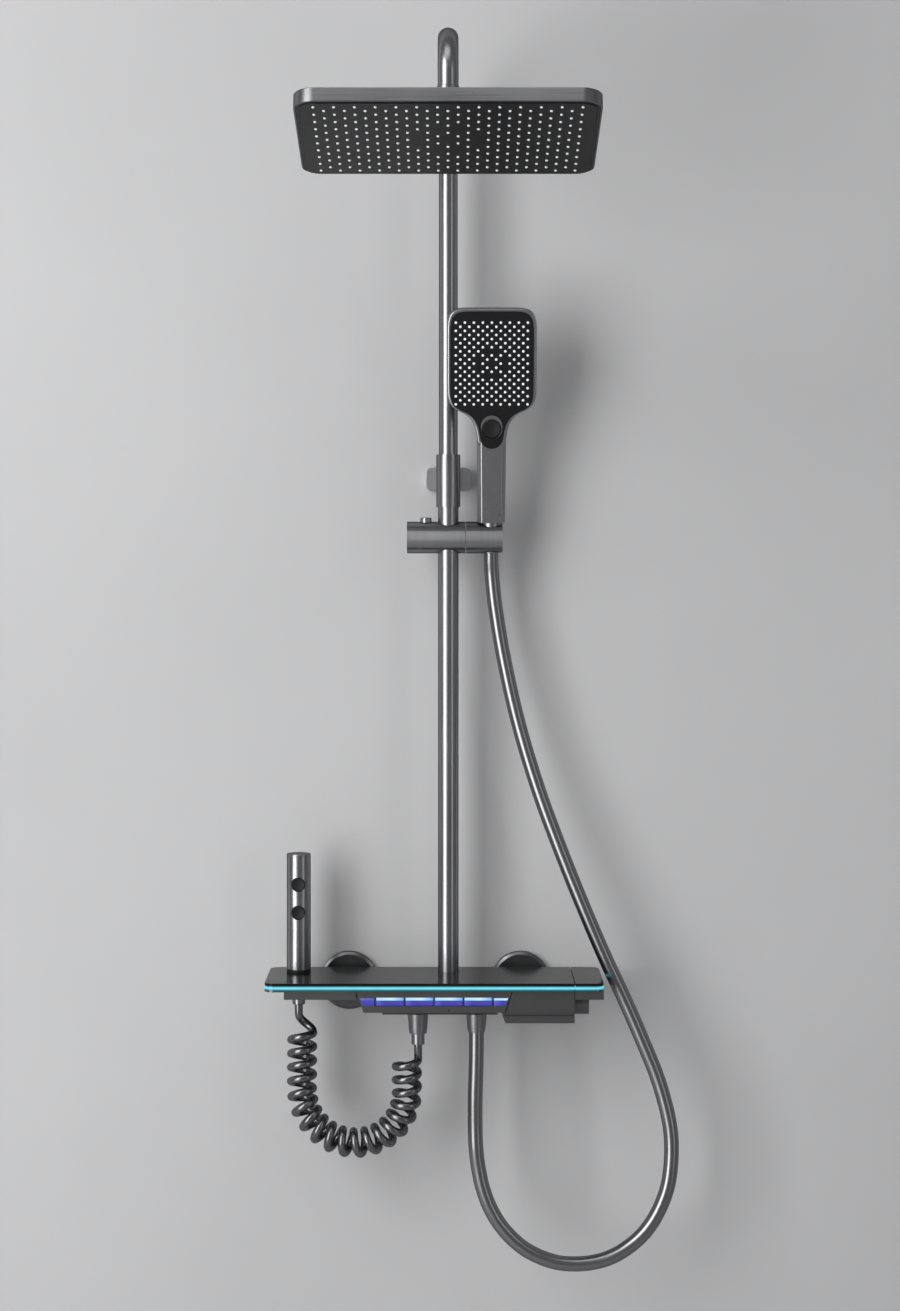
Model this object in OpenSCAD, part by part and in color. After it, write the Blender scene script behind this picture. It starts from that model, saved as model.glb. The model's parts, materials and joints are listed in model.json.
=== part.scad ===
// Shower panel column. Millimetres, +Z up, +X to the right of someone who faces it.
// The wall is the plane Y = 0 and the object is on its -Y side.
// The origin is on the wall, midway between the hot and the cold supply.

/* [Wall connections] */
// Distance between the two supply pipes
inlet_span = 203.2; // [196:0.1:212]
// Diameter of the supply thread that goes into the wall
supply_thread_d = 20.95; // [16:0.01:26.4]
// Length of the supply thread
supply_thread_length = 15; // [10:1:25]
// Diameter of the thread under the union nut
union_thread_d = 26.4; // [24:0.1:28]
// Length of a wall union in front of the wall
union_length = 21; // [19:0.5:24]
// Bore of the wall union
union_bore = 14; // [10:0.5:15]
// Width across the flats of the union nut
union_nut_across = 30; // [29.5:0.1:31]
// Length of the union nut
union_nut_length = 19; // [16:0.5:19]
// Thickness of the fibre washer in the union
washer_thickness = 2; // [1:0.5:3]
// Diameter of a wall flange
flange_d = 68; // [50:1:80]
// Depth of a wall flange
flange_depth = 10; // [6:0.5:10]
// Width of the bevel on the wall flange
flange_bevel = 3; // [1:0.5:8]
// Sheet thickness of the wall flange
flange_wall = 1.2; // [0.8:0.1:2]

/* [Riser] */
// How far the riser stands to the right of the middle
riser_x = 16; // [5:1:22]
// Distance from the wall to the middle of the riser
riser_out = 62; // [58:1:66]
// Diameter of the lower riser tube
lower_riser_d = 24; // [23.6:0.1:24.4]
// Wall of the lower riser tube
lower_riser_wall = 0.7; // [0.6:0.05:0.8]
// Height of the lower riser's top end above the supplies
lower_riser_top = 600; // [590:1:606]
// Diameter of the upper riser tube
upper_riser_d = 22; // [21.6:0.1:22.2]
// Wall of the upper riser tube
upper_riser_wall = 1; // [0.8:0.1:1.5]
// Height of the upper riser's bottom end
upper_riser_foot = 250; // [220:1:300]
// Height of the overhead arm
arm_height = 1052; // [1000:1:1150]
// Distance from the riser to the arm's down leg
arm_reach = 320; // [250:1:380]
// Middle radius of the bend above the riser
rear_bend_r = 60; // [40:1:80]
// Middle radius of the bend above the head
front_bend_r = 40; // [30:1:60]
// Length of the straight leg under the front bend
arm_leg = 17; // [14:1:30]
// Length of the guide bush's collar
guide_length = 12; // [8:1:20]
// Thickness of a guide ring
guide_ring_d = 2; // [1.5:0.1:2.4]

/* [Lock sleeve and wall bracket] */
// Diameter of the lock sleeve
sleeve_d = 28; // [27:0.5:32]
// Height of the sleeve's lower end
sleeve_bottom = 560; // [555:1:566]
// Length of the lock sleeve
sleeve_length = 61; // [58:1:70]
// Width of the bracket block
bracket_width = 52; // [46:1:60]
// Height of the bracket block
bracket_height = 27; // [25:1:32]
// Depth of the bracket block
bracket_depth = 18; // [15:1:22]
// Corner radius of the bracket block
bracket_corner = 6; // [3:0.5:8]
// Diameter of the bracket's arm
bracket_arm_d = 12; // [10:0.5:13]
// Distance between the bracket plate's screw holes
bracket_hole_span = 30; // [24:1:32]
// Diameter of a screw hole in the bracket plate
bracket_hole_d = 5.4; // [4:0.1:6]
// Thickness of the bracket plate
bracket_plate_depth = 6; // [5:0.5:8]

/* [Overhead head] */
// Width of the head
head_width = 314; // [250:1:330]
// Depth of the head
head_depth = 205; // [180:1:260]
// Height of the head's rim
head_rim = 15; // [13:0.5:20]
// Corner radius of the head
head_corner = 22; // [10:1:40]
// Wall of the head's shell
head_wall = 2; // [1.5:0.1:3]
// How far the head's front edge is tipped up at rest
head_tip = 12.8; // [0:0.1:15]
// Diameter of the ball
ball_d = 22; // [21.5:0.1:22.2]
// Diameter of the neck above the ball
ball_neck_d = 10; // [8:0.5:10]
// Diameter of the collar above the ball
ball_collar_d = 26; // [24:0.5:28]
// Thickness of the seat round the ball
seat_wall = 1.54; // [1.3:0.02:1.6]
// Nozzles in a front row of the head
head_nozzle_columns = 14; // [8:1:14]
// Spacing of the head's nozzles across
head_nozzle_pitch_x = 21; // [18:0.5:21]
// Spacing of the head's nozzles front to back
head_nozzle_pitch_y = 19.7; // [16:0.1:20]
// Diameter of a head nozzle
head_nozzle_d = 3.4; // [2:0.1:4]

/* [Slider] */
// Diameter of the slider and the handset holder
slider_d = 37; // [36:0.5:40]
// Height of the slider's axis
slider_height = 524.5; // [480:0.5:526]
// Length of the slider from the riser to its free end
slider_left = 48; // [44:1:54]
// Length of the slider from the riser to the seam
slider_right = 20; // [19:0.5:22]
// Length of the holder that turns
holder_length = 43; // [42:1:48]
// Distance from the seam to the handset's axis
holder_axis_in = 30; // [29:0.5:31]
// Lean of the handset towards the user
handset_lean = 10; // [0:0.5:15]
// Diameter of the slider's button
slider_button_d = 13; // [10:0.5:14]
// Distance from the riser to the slider's button
slider_button_in = 26; // [25:0.5:30]

/* [Handset] */
// Width of the handset's head
handset_width = 103; // [90:1:110]
// Height of the handset's head
handset_head_height = 117; // [105:1:125]
// Corner radius of the handset's head
handset_corner = 16; // [8:0.5:24]
// Thickness of the handset's head
handset_thick = 20; // [18:0.5:26]
// Width of the handset's handle
handle_width = 32; // [29:0.5:36]
// Depth of the handset's handle
handle_thick = 25; // [24:0.5:30]
// Length of the handset's handle and neck
handle_length = 132; // [125:1:150]
// Length of the neck that widens to the head
neck_length = 34; // [25:1:40]
// Diameter of the handset's thread
handset_thread_d = 20.6; // [20:0.1:21]
// Top diameter of the hose's cone nut
cone_nut_d = 24; // [23.6:0.1:25]
// Bottom diameter of the hose's cone nut
cone_nut_tip_d = 20.4; // [20:0.1:21]
// Length of the hose's cone nut
cone_nut_length = 36; // [35:0.5:40]
// Rows of nozzles in the handset
handset_nozzle_rows = 21; // [11:2:21]
// Spacing of the handset's nozzles across
handset_nozzle_pitch = 10.3; // [9:0.1:10.4]
// Spacing of the handset's rows
handset_row_pitch = 4.7; // [4:0.1:4.7]
// Diameter of a handset nozzle
handset_nozzle_d = 2; // [1.5:0.1:2.4]
// Diameter of the mode button
mode_button_d = 22; // [18:0.5:23]

/* [Shelf] */
// Width of the shelf, with the temperature handle
shelf_width = 385; // [370:1:400]
// Depth of the shelf
shelf_depth = 122; // [118:1:130]
// Gap between the wall and the shelf
shelf_gap = 31; // [30:0.5:32]
// Corner radius of the shelf
shelf_corner = 11; // [4:0.5:20]
// Height of the shelf's top face above the supplies
shelf_top = 19.5; // [18:0.5:24]
// Thickness of the shelf's glass
glass_thick = 3.2; // [2.5:0.1:4]
// Thickness of the light guide under the glass
guide_thick = 4.4; // [3:0.1:5]
// Distance from the light guide's front edge to the lamps
led_edge = 10; // [6:0.5:14]
// Thickness of the tray's plate
tray_plate = 2.3; // [2:0.1:3]
// Width of the shelf's end that turns as the temperature handle
handle_end_width = 33; // [28:0.5:38]
// Height of the tray below its plate
tray_height = 8.9; // [7:0.1:10]
// Wall of the tray
tray_wall = 2; // [1.5:0.1:3]

/* [Key panel] */
// Width of one key and its gap
key_pitch = 33.3; // [30:0.1:34]
// Height of a key
key_height = 8.4; // [7:0.1:9]
// Height of the key's sloping top strip
key_strip = 2.4; // [1:0.1:3]
// Height of a key's middle, below the supplies
key_drop = 1.6; // [1:0.1:2]
// Travel of a key
key_travel = 3; // [2:0.1:4]
// Gap round a key
key_gap = 0.5; // [0.3:0.1:1]
// Half width of the panel at its top
panel_top_half = 88; // [86:0.5:92]
// Half width of the panel at its bottom
panel_bottom_half = 80; // [78:0.5:84]
// Depth of the panel below the supplies
panel_drop = 14; // [12:0.5:16]
// Distance from the wall to the panel's face
panel_out = 150; // [147:0.5:152]

/* [Mixer] */
// Distance from the wall to the mixer's barrel
mixer_out = 52; // [50:0.5:54]
// Diameter of the mixer's barrel
barrel_d = 23; // [21:0.5:24]
// Distance from the wall to the outlets
outlet_out = 100; // [96:1:104]
// Sideways place of the coil hose's outlet, left of the middle
coil_outlet_x = 18.8; // [17:0.1:22]
// Sideways place of the handset's outlet, right of the middle
handset_outlet_x = 48.4; // [44:0.1:52]
// Diameter of an outlet's thread
outlet_thread_d = 20.6; // [19:0.1:21]
// Diameter of a hose nut at the mixer
outlet_nut_d = 24; // [23:0.1:26]
// Length of the handset hose's nut at the mixer
outlet_nut_length = 20.5; // [18:0.5:24]
// Diameter of a diverter cartridge
diverter_d = 15.8; // [14:0.1:17]
// Diameter of a key's stem
stem_d = 6; // [4:0.1:7]
// Diameter of the water turbine
turbine_d = 18; // [14:0.5:20]
// Length of the water turbine
turbine_length = 26; // [20:1:28]

/* [Spout block and temperature handle] */
// Lowest place of the spout block below the supplies
block_drop = 25.5; // [24:0.5:28]
// Distance from the wall to the thermostat's axis
valve_out = 118; // [114:0.5:120]
// How far the thermostat's axis is below the supplies
valve_drop = 5; // [4:0.5:6]
// Diameter of the thermostat cartridge
cartridge_d = 22; // [20:0.5:24]
// Diameter of the bearing that the handle turns on
bearing_d = 12; // [10:0.5:14]
// Diameter of the temperature handle's hub
hub_d = 31; // [28:0.5:32]
// Length of the hub
hub_length = 16.6; // [14:0.1:20]
// Width of the spout's slot
spout_width = 62; // [40:1:64]
// Depth of the spout's slot, front to back
spout_slot = 12; // [6:0.5:13]

/* [Wand] */
// Distance from the shelf's left end to the wand
wand_in = 34.5; // [32.5:0.5:40]
// Distance from the wall to the wand
wand_out = 65; // [62:0.5:70]
// Diameter of the wand
wand_d = 28; // [26:0.5:30]
// Height of the wand above its socket
wand_length = 134; // [110:1:170]
// Diameter of the wand's tail in the socket
wand_tail_d = 18; // [16:0.5:19]
// Thickness of the socket's collar on the shelf
socket_collar = 3.5; // [2:0.1:5]
// Diameter of a wand button
wand_button_d = 16; // [12:0.5:18]
// Height of the upper button above the supplies
wand_button_high = 122; // [118:0.5:126]
// Distance between the two wand buttons
wand_button_span = 32.5; // [20:0.5:40]

/* [Hoses] */
// Diameter of the handset's hose
hose_d = 17; // [16:0.1:17]
// Diameter of the coil hose's tube
coil_tube_d = 9.5; // [8:0.1:9.8]
// Middle radius of the coil hose's curls
curl_r = 12.9; // [10:0.1:14]
// Curls in the coil hose
curls = 18.5; // [12:0.5:20]
// Middle radius of the coil hose's hanging bend
coil_bend_r = 61; // [55:1:62]

/* [Hidden] */

$fn = 48;
// How far a cut runs past the face that it opens
cut = 1;
// Gap between two loose pieces that don't move
seat_gap = 0.1;
// Radial clearance of a shaft that turns or slides in a hole
run_gap = 0.06;
// Gap between a moving piece and what it passes
pass_gap = 0.3;
// Gap between the shelf and the temperature handle
seam = 0.6;

// Colours
gunmetal = [0.20, 0.20, 0.22];
dark_metal = [0.14, 0.14, 0.15];
black_gloss = [0.03, 0.03, 0.035];
black_soft = [0.06, 0.06, 0.06];
silicone = [0.85, 0.86, 0.88];
brass_colour = [0.72, 0.58, 0.30];
light_cyan = [0.35, 0.85, 1.0];
key_blue = [0.30, 0.45, 0.95];
steel = [0.62, 0.63, 0.65];
circuit_green = [0.10, 0.35, 0.18];
fibre = [0.55, 0.20, 0.15];

// Lays the drawing plane against the wall: local Z points into the room
module from_wall(x, z) { translate([x, 0, z]) rotate([90, 0, 0]) children(); }

// Turns local Z to point to the right
module along_x(x, y, z) { translate([x, y, z]) rotate([0, 90, 0]) children(); }

module ring(outer_d, inner_d, length) {
    difference() {
        cylinder(d = outer_d, h = length);
        translate([0, 0, -cut]) cylinder(d = inner_d, h = length + 2 * cut);
    }
}

module rounded_rectangle(width, depth, radius) {
    square([width - 2 * radius, depth], center = true);
    square([width, depth - 2 * radius], center = true);
    for (x = [-1, 1], y = [-1, 1])
        translate([x * (width / 2 - radius), y * (depth / 2 - radius)]) circle(r = radius);
}

// Wall connections
union_nut_end = flange_depth + seat_gap * 4 + union_nut_length;
tail_collar = washer_thickness + 1.5 * flange_wall;
tail_collar_d = union_thread_d - 2 * washer_thickness;
tail_d = union_bore + 2.4 * washer_thickness;
tail_collar_end = union_length + washer_thickness + tail_collar;

module wall_unions() {
    color(brass_colour) for (side = [-1, 1]) from_wall(side * inlet_span / 2, 0) difference() {
        union() {
            translate([0, 0, -supply_thread_length]) cylinder(d = supply_thread_d, h = supply_thread_length);
            cylinder(d = union_thread_d, h = union_length);
        }
        translate([0, 0, -supply_thread_length - cut])
            cylinder(d = union_bore, h = supply_thread_length + union_length + 2 * cut);
    }
}

module wall_flanges() {
    hole_r = union_thread_d / 2 + seat_gap;
    rim_r = flange_d / 2;
    step = flange_bevel;
    color(gunmetal) for (side = [-1, 1]) from_wall(side * inlet_span / 2, 0) rotate_extrude()
        polygon([[hole_r, flange_depth], [rim_r - step, flange_depth], [rim_r, flange_depth - step],
            [rim_r, 0], [rim_r - flange_wall, 0],
            [rim_r - flange_wall, flange_depth - step - flange_wall / 2],
            [rim_r - step - flange_wall / 2, flange_depth - flange_wall],
            [hole_r, flange_depth - flange_wall]]);
}

module union_nuts() {
    color(gunmetal) for (side = [-1, 1]) from_wall(side * inlet_span / 2, 0) difference() {
        translate([0, 0, union_nut_end - union_nut_length])
            cylinder(d = union_nut_across / cos(30), h = union_nut_length, $fn = 6);
        cylinder(d = union_thread_d + 2 * seat_gap, h = tail_collar_end + seat_gap);
        cylinder(d = tail_d + 4 * seat_gap, h = union_nut_end + cut);
    }
}

module inlet_washers() {
    color(fibre) for (side = [-1, 1]) from_wall(side * inlet_span / 2, 0)
        translate([0, 0, union_length]) ring(tail_collar_d, union_bore, washer_thickness);
}

// Lock sleeve and wall bracket
bracket_z = sleeve_bottom + sleeve_length * 0.55;
bracket_rim = flange_wall * 2;
bracket_pocket = bracket_depth * 2 / 3;
grub_d = bracket_plate_depth * 2 / 3;
boss_d = bracket_arm_d * 1.5;
boss_out = bracket_depth * 2;
arm_out = riser_out - sleeve_d / 2 + 3 * pass_gap;

module bracket_plate() {
    color(steel) from_wall(riser_x, bracket_z) linear_extrude(bracket_plate_depth) difference() {
        rounded_rectangle(bracket_width - 2 * bracket_rim - 2 * seat_gap,
            bracket_height - 2 * bracket_rim - 2 * seat_gap, bracket_corner - bracket_rim);
        for (side = [-1, 1]) translate([side * bracket_hole_span / 2, 0]) circle(d = bracket_hole_d);
    }
}

module bracket_block() {
    color(gunmetal) from_wall(riser_x, bracket_z) difference() {
        union() {
            linear_extrude(bracket_depth) rounded_rectangle(bracket_width, bracket_height, bracket_corner);
            cylinder(d = bracket_arm_d, h = arm_out);
        }
        translate([0, 0, -cut]) linear_extrude(bracket_pocket + cut)
            rounded_rectangle(bracket_width - 2 * bracket_rim, bracket_height - 2 * bracket_rim,
                bracket_corner - bracket_rim);
        translate([0, -bracket_height / 2 - cut, bracket_plate_depth / 2]) rotate([-90, 0, 0])
            cylinder(d = grub_d, h = bracket_rim + 2 * cut);
    }
}

// One screw holds the block on its plate and one holds the arm in the sleeve
module grub_screws() {
    color(steel) {
        from_wall(riser_x, bracket_z) translate([0, -bracket_height / 2, bracket_plate_depth / 2])
            rotate([-90, 0, 0]) cylinder(d = grub_d, h = bracket_rim + seat_gap);
        from_wall(riser_x, bracket_z) translate([0, -boss_d / 2, boss_out + grub_d])
            rotate([-90, 0, 0]) cylinder(d = grub_d, h = (boss_d - bracket_arm_d) / 2);
    }
}

collet_d = sleeve_d - 4 * flange_wall / 2 + seat_gap * 4;
collet_length = sleeve_bottom + sleeve_length - lower_riser_top - 2 * bracket_rim;

module lock_sleeve() {
    color(gunmetal) difference() {
        union() {
            translate([riser_x, -riser_out, sleeve_bottom]) cylinder(d = sleeve_d, h = sleeve_length);
            from_wall(riser_x, bracket_z) translate([0, 0, boss_out])
                cylinder(d = boss_d, h = riser_out - boss_out - lower_riser_d / 2);
        }
        translate([riser_x, -riser_out, sleeve_bottom - cut])
            cylinder(d = lower_riser_d + 2 * seat_gap, h = lower_riser_top - sleeve_bottom + cut);
        translate([riser_x, -riser_out, lower_riser_top - cut])
            cylinder(d = upper_riser_d + 2 * pass_gap, h = sleeve_length);
        translate([riser_x, -riser_out, lower_riser_top])
            cylinder(d = sleeve_d - 2 * flange_wall, h = collet_length);
        from_wall(riser_x, bracket_z) translate([0, 0, boss_out - cut])
            cylinder(d = bracket_arm_d + 2 * seat_gap, h = arm_out - boss_out + cut + seat_gap);
        from_wall(riser_x, bracket_z) translate([0, -boss_d / 2 - cut, boss_out + grub_d])
            rotate([-90, 0, 0]) cylinder(d = grub_d + 2 * seat_gap, h = boss_d / 2);
    }
}

module riser_collet() {
    color(black_soft) translate([riser_x, -riser_out, lower_riser_top])
        ring(sleeve_d - 2 * flange_wall - 2 * seat_gap, upper_riser_d + 2 * run_gap, collet_length);
}

// Shelf levels, from the glass down
glass_bottom = shelf_top - glass_thick;
guide_bottom = glass_bottom - guide_thick;
plate_bottom = guide_bottom - tray_plate;
tray_bottom = plate_bottom - tray_height;
shelf_front = shelf_gap + shelf_depth;
handle_left = shelf_width / 2 - handle_end_width;
wand_x = shelf_width / 2 - wand_in;
tray_left = -wand_x - wand_tail_d / 2 - 1.6 * tray_wall;

// Mixer
riser_boss_d = lower_riser_d + 10 * washer_thickness / 2;
riser_socket = tray_height + washer_thickness * 2;
manifold_left = coil_outlet_x + outlet_nut_d * 1.7;
manifold_right = handset_outlet_x + outlet_nut_d;
manifold_back = mixer_out + barrel_d;
manifold_front = outlet_out + outlet_nut_d * 5 / 6;
manifold_top = plate_bottom - tray_wall * 4 / 5;
manifold_bottom = -panel_drop - outlet_nut_d * 0.3;
barrel_half = inlet_span / 2 + barrel_d / 2;
barrel_drop = valve_drop * 2 / 5;
block_back = shelf_front - shelf_depth * 0.565;
port_d = cartridge_d * 0.8;
water_d = barrel_d * 2 / 3;
outlet_thread = outlet_nut_length * 0.6;
outlet_bore = outlet_thread_d * 0.58;
diverter_in = diverter_d * 1.15;
diverter_nose = diverter_d / 2;
key_middle = -key_drop;

module mixer_body() {
    color(brass_colour) difference() {
        union() {
            along_x(-barrel_half, -mixer_out, -barrel_drop) cylinder(d = barrel_d, h = 2 * barrel_half);
            for (side = [-1, 1]) from_wall(side * inlet_span / 2, 0) {
                translate([0, 0, union_length + washer_thickness])
                    cylinder(d = tail_collar_d, h = tail_collar);
                translate([0, 0, union_length + washer_thickness])
                    cylinder(d = tail_d, h = mixer_out - union_length - washer_thickness);
            }
            translate([riser_x, -riser_out, -riser_socket])
                cylinder(d = riser_boss_d, h = riser_socket + plate_bottom);
            translate([-manifold_left, -manifold_front, manifold_bottom])
                cube([manifold_left + manifold_right, manifold_front - manifold_back + barrel_d / 3,
                    manifold_top - manifold_bottom]);
            from_wall(inlet_span / 2, -valve_drop) translate([0, 0, mixer_out])
                cylinder(d = port_d, h = block_back - mixer_out);
            for (x = [-coil_outlet_x, handset_outlet_x])
                translate([x, -outlet_out, manifold_bottom - outlet_thread])
                    cylinder(d = outlet_thread_d, h = outlet_thread + cut);
        }
        along_x(-barrel_half + barrel_d / 4, -mixer_out, -barrel_drop)
            cylinder(d = water_d, h = 2 * barrel_half - barrel_d / 2);
        for (side = [-1, 1]) from_wall(side * inlet_span / 2, 0)
            cylinder(d = union_bore, h = mixer_out);
        translate([riser_x, -riser_out, -riser_socket + tray_wall * 2])
            cylinder(d = lower_riser_d + 2 * seat_gap, h = riser_socket + plate_bottom);
        for (x = [-coil_outlet_x, handset_outlet_x])
            translate([x, -outlet_out, manifold_bottom - outlet_thread - cut])
                cylinder(d = outlet_bore, h = outlet_thread + outlet_bore / 2 + cut);
        for (i = [-1.5 : 1.5]) from_wall(i * key_pitch, key_middle)
            translate([0, 0, manifold_front - diverter_in])
                cylinder(d = diverter_d + 2 * seat_gap, h = diverter_in + cut);
        for (x = tray_screw_places) translate([x, -mixer_out, 0]) cylinder(d = tray_screw_d, h = barrel_d);
    }
}

// The tray is screwed down on the mixer's barrel
tray_screw_d = tray_wall * 2;
tray_screw_head = tray_plate * 0.7;
tray_screw_places = [-inlet_span * 0.3, inlet_span * 0.3];

module tray_screws() {
    color(steel) for (x = tray_screw_places) translate([x, -mixer_out, 0]) {
        translate([0, 0, guide_bottom]) cylinder(d = 2 * tray_screw_d, h = tray_screw_head);
        translate([0, 0, water_d / 2 - barrel_drop + cut])
            cylinder(d = tray_screw_d - 2 * seat_gap, h = guide_bottom - water_d / 2 + barrel_drop - cut);
    }
}

module lower_riser() {
    foot = -riser_socket + tray_wall * 2;
    color(gunmetal) translate([riser_x, -riser_out, foot])
        ring(lower_riser_d, lower_riser_d - 2 * lower_riser_wall, lower_riser_top - foot);
}

// Plan of the whole shelf, drawn on the wall's plane and cut at the handle
module shelf_plan() {
    translate([0, -shelf_gap - shelf_depth / 2]) rounded_rectangle(shelf_width, shelf_depth, shelf_corner);
}

module fixed_part() {
    intersection() {
        children();
        translate([-shelf_width, -2 * shelf_depth - shelf_gap])
            square([shelf_width + handle_left - seam / 2, 2 * shelf_depth + shelf_gap]);
    }
}

module handle_part() {
    intersection() {
        children();
        translate([handle_left + seam / 2, -2 * shelf_depth - shelf_gap])
            square([shelf_width, 2 * shelf_depth + shelf_gap]);
    }
}

// The wand's hole has a slot to the shelf's back edge, for the hose
hose_slot = coil_tube_d + 5 * pass_gap;
socket_d = wand_tail_d + 2 * tray_wall + 2 * pass_gap;

module shelf_holes() {
    translate([riser_x, -riser_out]) circle(d = lower_riser_d + 2 * seat_gap);
    translate([-wand_x, -wand_out]) circle(d = socket_d + 2 * seat_gap);
    translate([-wand_x - hose_slot / 2, -wand_out]) square([hose_slot, wand_out]);
}

module shelf_glass() {
    color(black_gloss) translate([0, 0, glass_bottom]) linear_extrude(glass_thick) difference() {
        fixed_part() shelf_plan();
        shelf_holes();
    }
}

module shelf_light_guide() {
    color(light_cyan) difference() {
        translate([0, 0, guide_bottom]) linear_extrude(guide_thick) difference() {
            fixed_part() shelf_plan();
            shelf_holes();
        }
        led_strip(seat_gap, cut);
        for (x = tray_screw_places) translate([x, -mixer_out, guide_bottom - cut])
            cylinder(d = 2 * tray_screw_d + 2 * seat_gap, h = cut + tray_screw_head + seat_gap);
    }
}

module handle_glass() {
    color(black_gloss) translate([0, 0, glass_bottom]) linear_extrude(glass_thick)
        handle_part() shelf_plan();
}

module handle_light_guide() {
    color(light_cyan) translate([0, 0, guide_bottom]) linear_extrude(guide_thick)
        handle_part() shelf_plan();
}

module under_tray() {
    tray_right = -panel_top_half - seam;
    color(dark_metal) {
        translate([0, 0, plate_bottom]) linear_extrude(tray_plate) difference() {
            fixed_part() shelf_plan();
            shelf_holes();
            for (x = tray_screw_places)
                translate([x, -mixer_out]) circle(d = tray_screw_d + 2 * seat_gap);
        }
        translate([tray_left, -panel_out, tray_bottom]) difference() {
            cube([tray_right - tray_left, panel_out - shelf_gap - tray_wall, tray_height]);
            translate([tray_wall, tray_wall, tray_wall])
                cube([tray_right - tray_left - 2 * tray_wall, panel_out, tray_height]);
            translate([-barrel_half - tray_wall - tray_left, panel_out - manifold_front, -cut])
                cube([barrel_half, panel_out, tray_height + 2 * cut]);
            translate([-wand_x - tray_left, panel_out - wand_out, -cut]) {
                cylinder(d = socket_d + 2 * pass_gap, h = tray_height + 2 * cut);
                translate([-hose_slot / 2, 0, 0]) cube([hose_slot, wand_out, tray_height + 2 * cut]);
            }
        }
    }
}

// The strip of lamps lies in a pocket under the light guide, along its front edge
board_half = handle_left - led_edge;
board_depth = led_edge * 1.4;
board_thick = guide_thick / 3;

module led_strip(gap, below) {
    translate([-board_half - gap, -shelf_front + led_edge - gap, guide_bottom - below])
        cube([2 * (board_half + gap), board_depth + 2 * gap, board_thick + gap + below]);
}

module led_board() { color(circuit_green) led_strip(0, 0); }

module turbine_unit() {
    color(black_soft) along_x(-manifold_left - turbine_length, -outlet_out, -valve_drop) {
        cylinder(d = turbine_d, h = turbine_length);
        translate([0, 0, turbine_length * 0.3]) cylinder(d = turbine_d * 1.1, h = turbine_length * 0.4);
    }
}

// Key panel
keys_half = 2 * key_pitch;
key_top = key_middle + key_height / 2;
key_bottom = key_middle - key_height / 2;
key_face_out = panel_out + key_gap * 2;
key_back_out = key_face_out - key_height * 0.8;
stem_back_out = manifold_front - diverter_in / 3;

module key_bezel() {
    color(dark_metal) translate([0, -manifold_front, 0]) rotate([90, 0, 0]) difference() {
        linear_extrude(panel_out - manifold_front) polygon([[-panel_top_half, plate_bottom],
            [panel_top_half, plate_bottom], [panel_bottom_half, -panel_drop],
            [-panel_bottom_half, -panel_drop]]);
        translate([-keys_half - key_gap, key_bottom - key_gap, -cut])
            cube([2 * (keys_half + key_gap), key_height + 2 * key_gap, panel_out]);
        for (i = [-1.5 : 1.5]) translate([i * key_pitch, key_middle, -cut])
            cylinder(d = diverter_d + 4 * seat_gap, h = diverter_nose + seat_gap + cut);
    }
}

module diverter_cartridges() {
    hole_in = diverter_in - tray_wall;
    color(brass_colour) for (i = [-1.5 : 1.5]) from_wall(i * key_pitch, key_middle) difference() {
        translate([0, 0, manifold_front - diverter_in])
            cylinder(d = diverter_d, h = diverter_in + diverter_nose);
        translate([0, 0, manifold_front - hole_in])
            cylinder(d = stem_d + 2 * run_gap, h = hole_in + diverter_nose + cut);
    }
}

// A key with its stem: the place counts from the left
module key(place) {
    x = (place - 2.5) * key_pitch;
    half = key_pitch / 2 - key_gap / 2;
    color(key_blue) translate([x - half, 0, 0]) rotate([90, 0, 90]) linear_extrude(2 * half)
        polygon([[-key_back_out, key_bottom], [-key_face_out, key_bottom],
            [-key_face_out, key_top - key_strip], [-key_face_out + key_strip, key_top],
            [-key_back_out, key_top]]);
    color(black_soft) from_wall(x, key_middle) translate([0, 0, stem_back_out])
        cylinder(d = stem_d, h = key_back_out - stem_back_out + seat_gap);
}

module overhead_key() { key(1); }
module handset_key() { key(2); }
module wand_key() { key(3); }
module spout_key() { key(4); }

// Spout block and temperature handle
block_left = panel_bottom_half + seam;
block_right = handle_left - seam / 2;
block_out = panel_out - tray_wall;
lip_top = -block_drop + tray_height * 0.9;
cartridge_length = block_right - inlet_span / 2 + port_d / 3;
slot_left = block_left + tray_wall * 3;
slot_depth = tray_height * 2 / 3;
slot_out = panel_out - tray_wall * 2;

module block_outline() {
    polygon([[panel_top_half + seam, plate_bottom], [block_left, -panel_drop],
        [block_left - 2 * tray_wall, -panel_drop - seam], [block_left, -block_drop],
        [block_right, -block_drop], [block_right, plate_bottom]]);
}

module spout_block() {
    color(dark_metal) difference() {
        union() {
            translate([0, -block_back, 0]) rotate([90, 0, 0]) linear_extrude(block_out - block_back)
                block_outline();
            translate([0, -block_back, 0]) rotate([90, 0, 0])
                linear_extrude(block_out - block_back + 2 * tray_wall) intersection() {
                    block_outline();
                    translate([0, -block_drop]) square([block_right, lip_top + block_drop]);
                }
        }
        along_x(block_right - cartridge_length, -valve_out, -valve_drop)
            cylinder(d = cartridge_d + 2 * seat_gap, h = cartridge_length + cut);
        from_wall(inlet_span / 2, -valve_drop) translate([0, 0, block_back - cut])
            cylinder(d = water_d / 2, h = valve_out - block_back);
        translate([slot_left, -slot_out, -block_drop - cut])
            cube([spout_width, spout_slot, slot_depth + cut]);
    }
}

// The insert has a row of slits that lay the water in a sheet
module spout_insert() {
    slits = 12;
    slit = spout_width / slits;
    color(black_soft) difference() {
        translate([slot_left + seat_gap, -slot_out + seat_gap, -block_drop])
            cube([spout_width - 2 * seat_gap, spout_slot - 2 * seat_gap, slot_depth]);
        for (i = [0 : slits - 1])
            translate([slot_left + (i + 0.25) * slit, -slot_out + spout_slot / 4, -block_drop - cut])
                cube([slit / 2, spout_slot / 2, slot_depth + 2 * cut]);
    }
}

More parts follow.
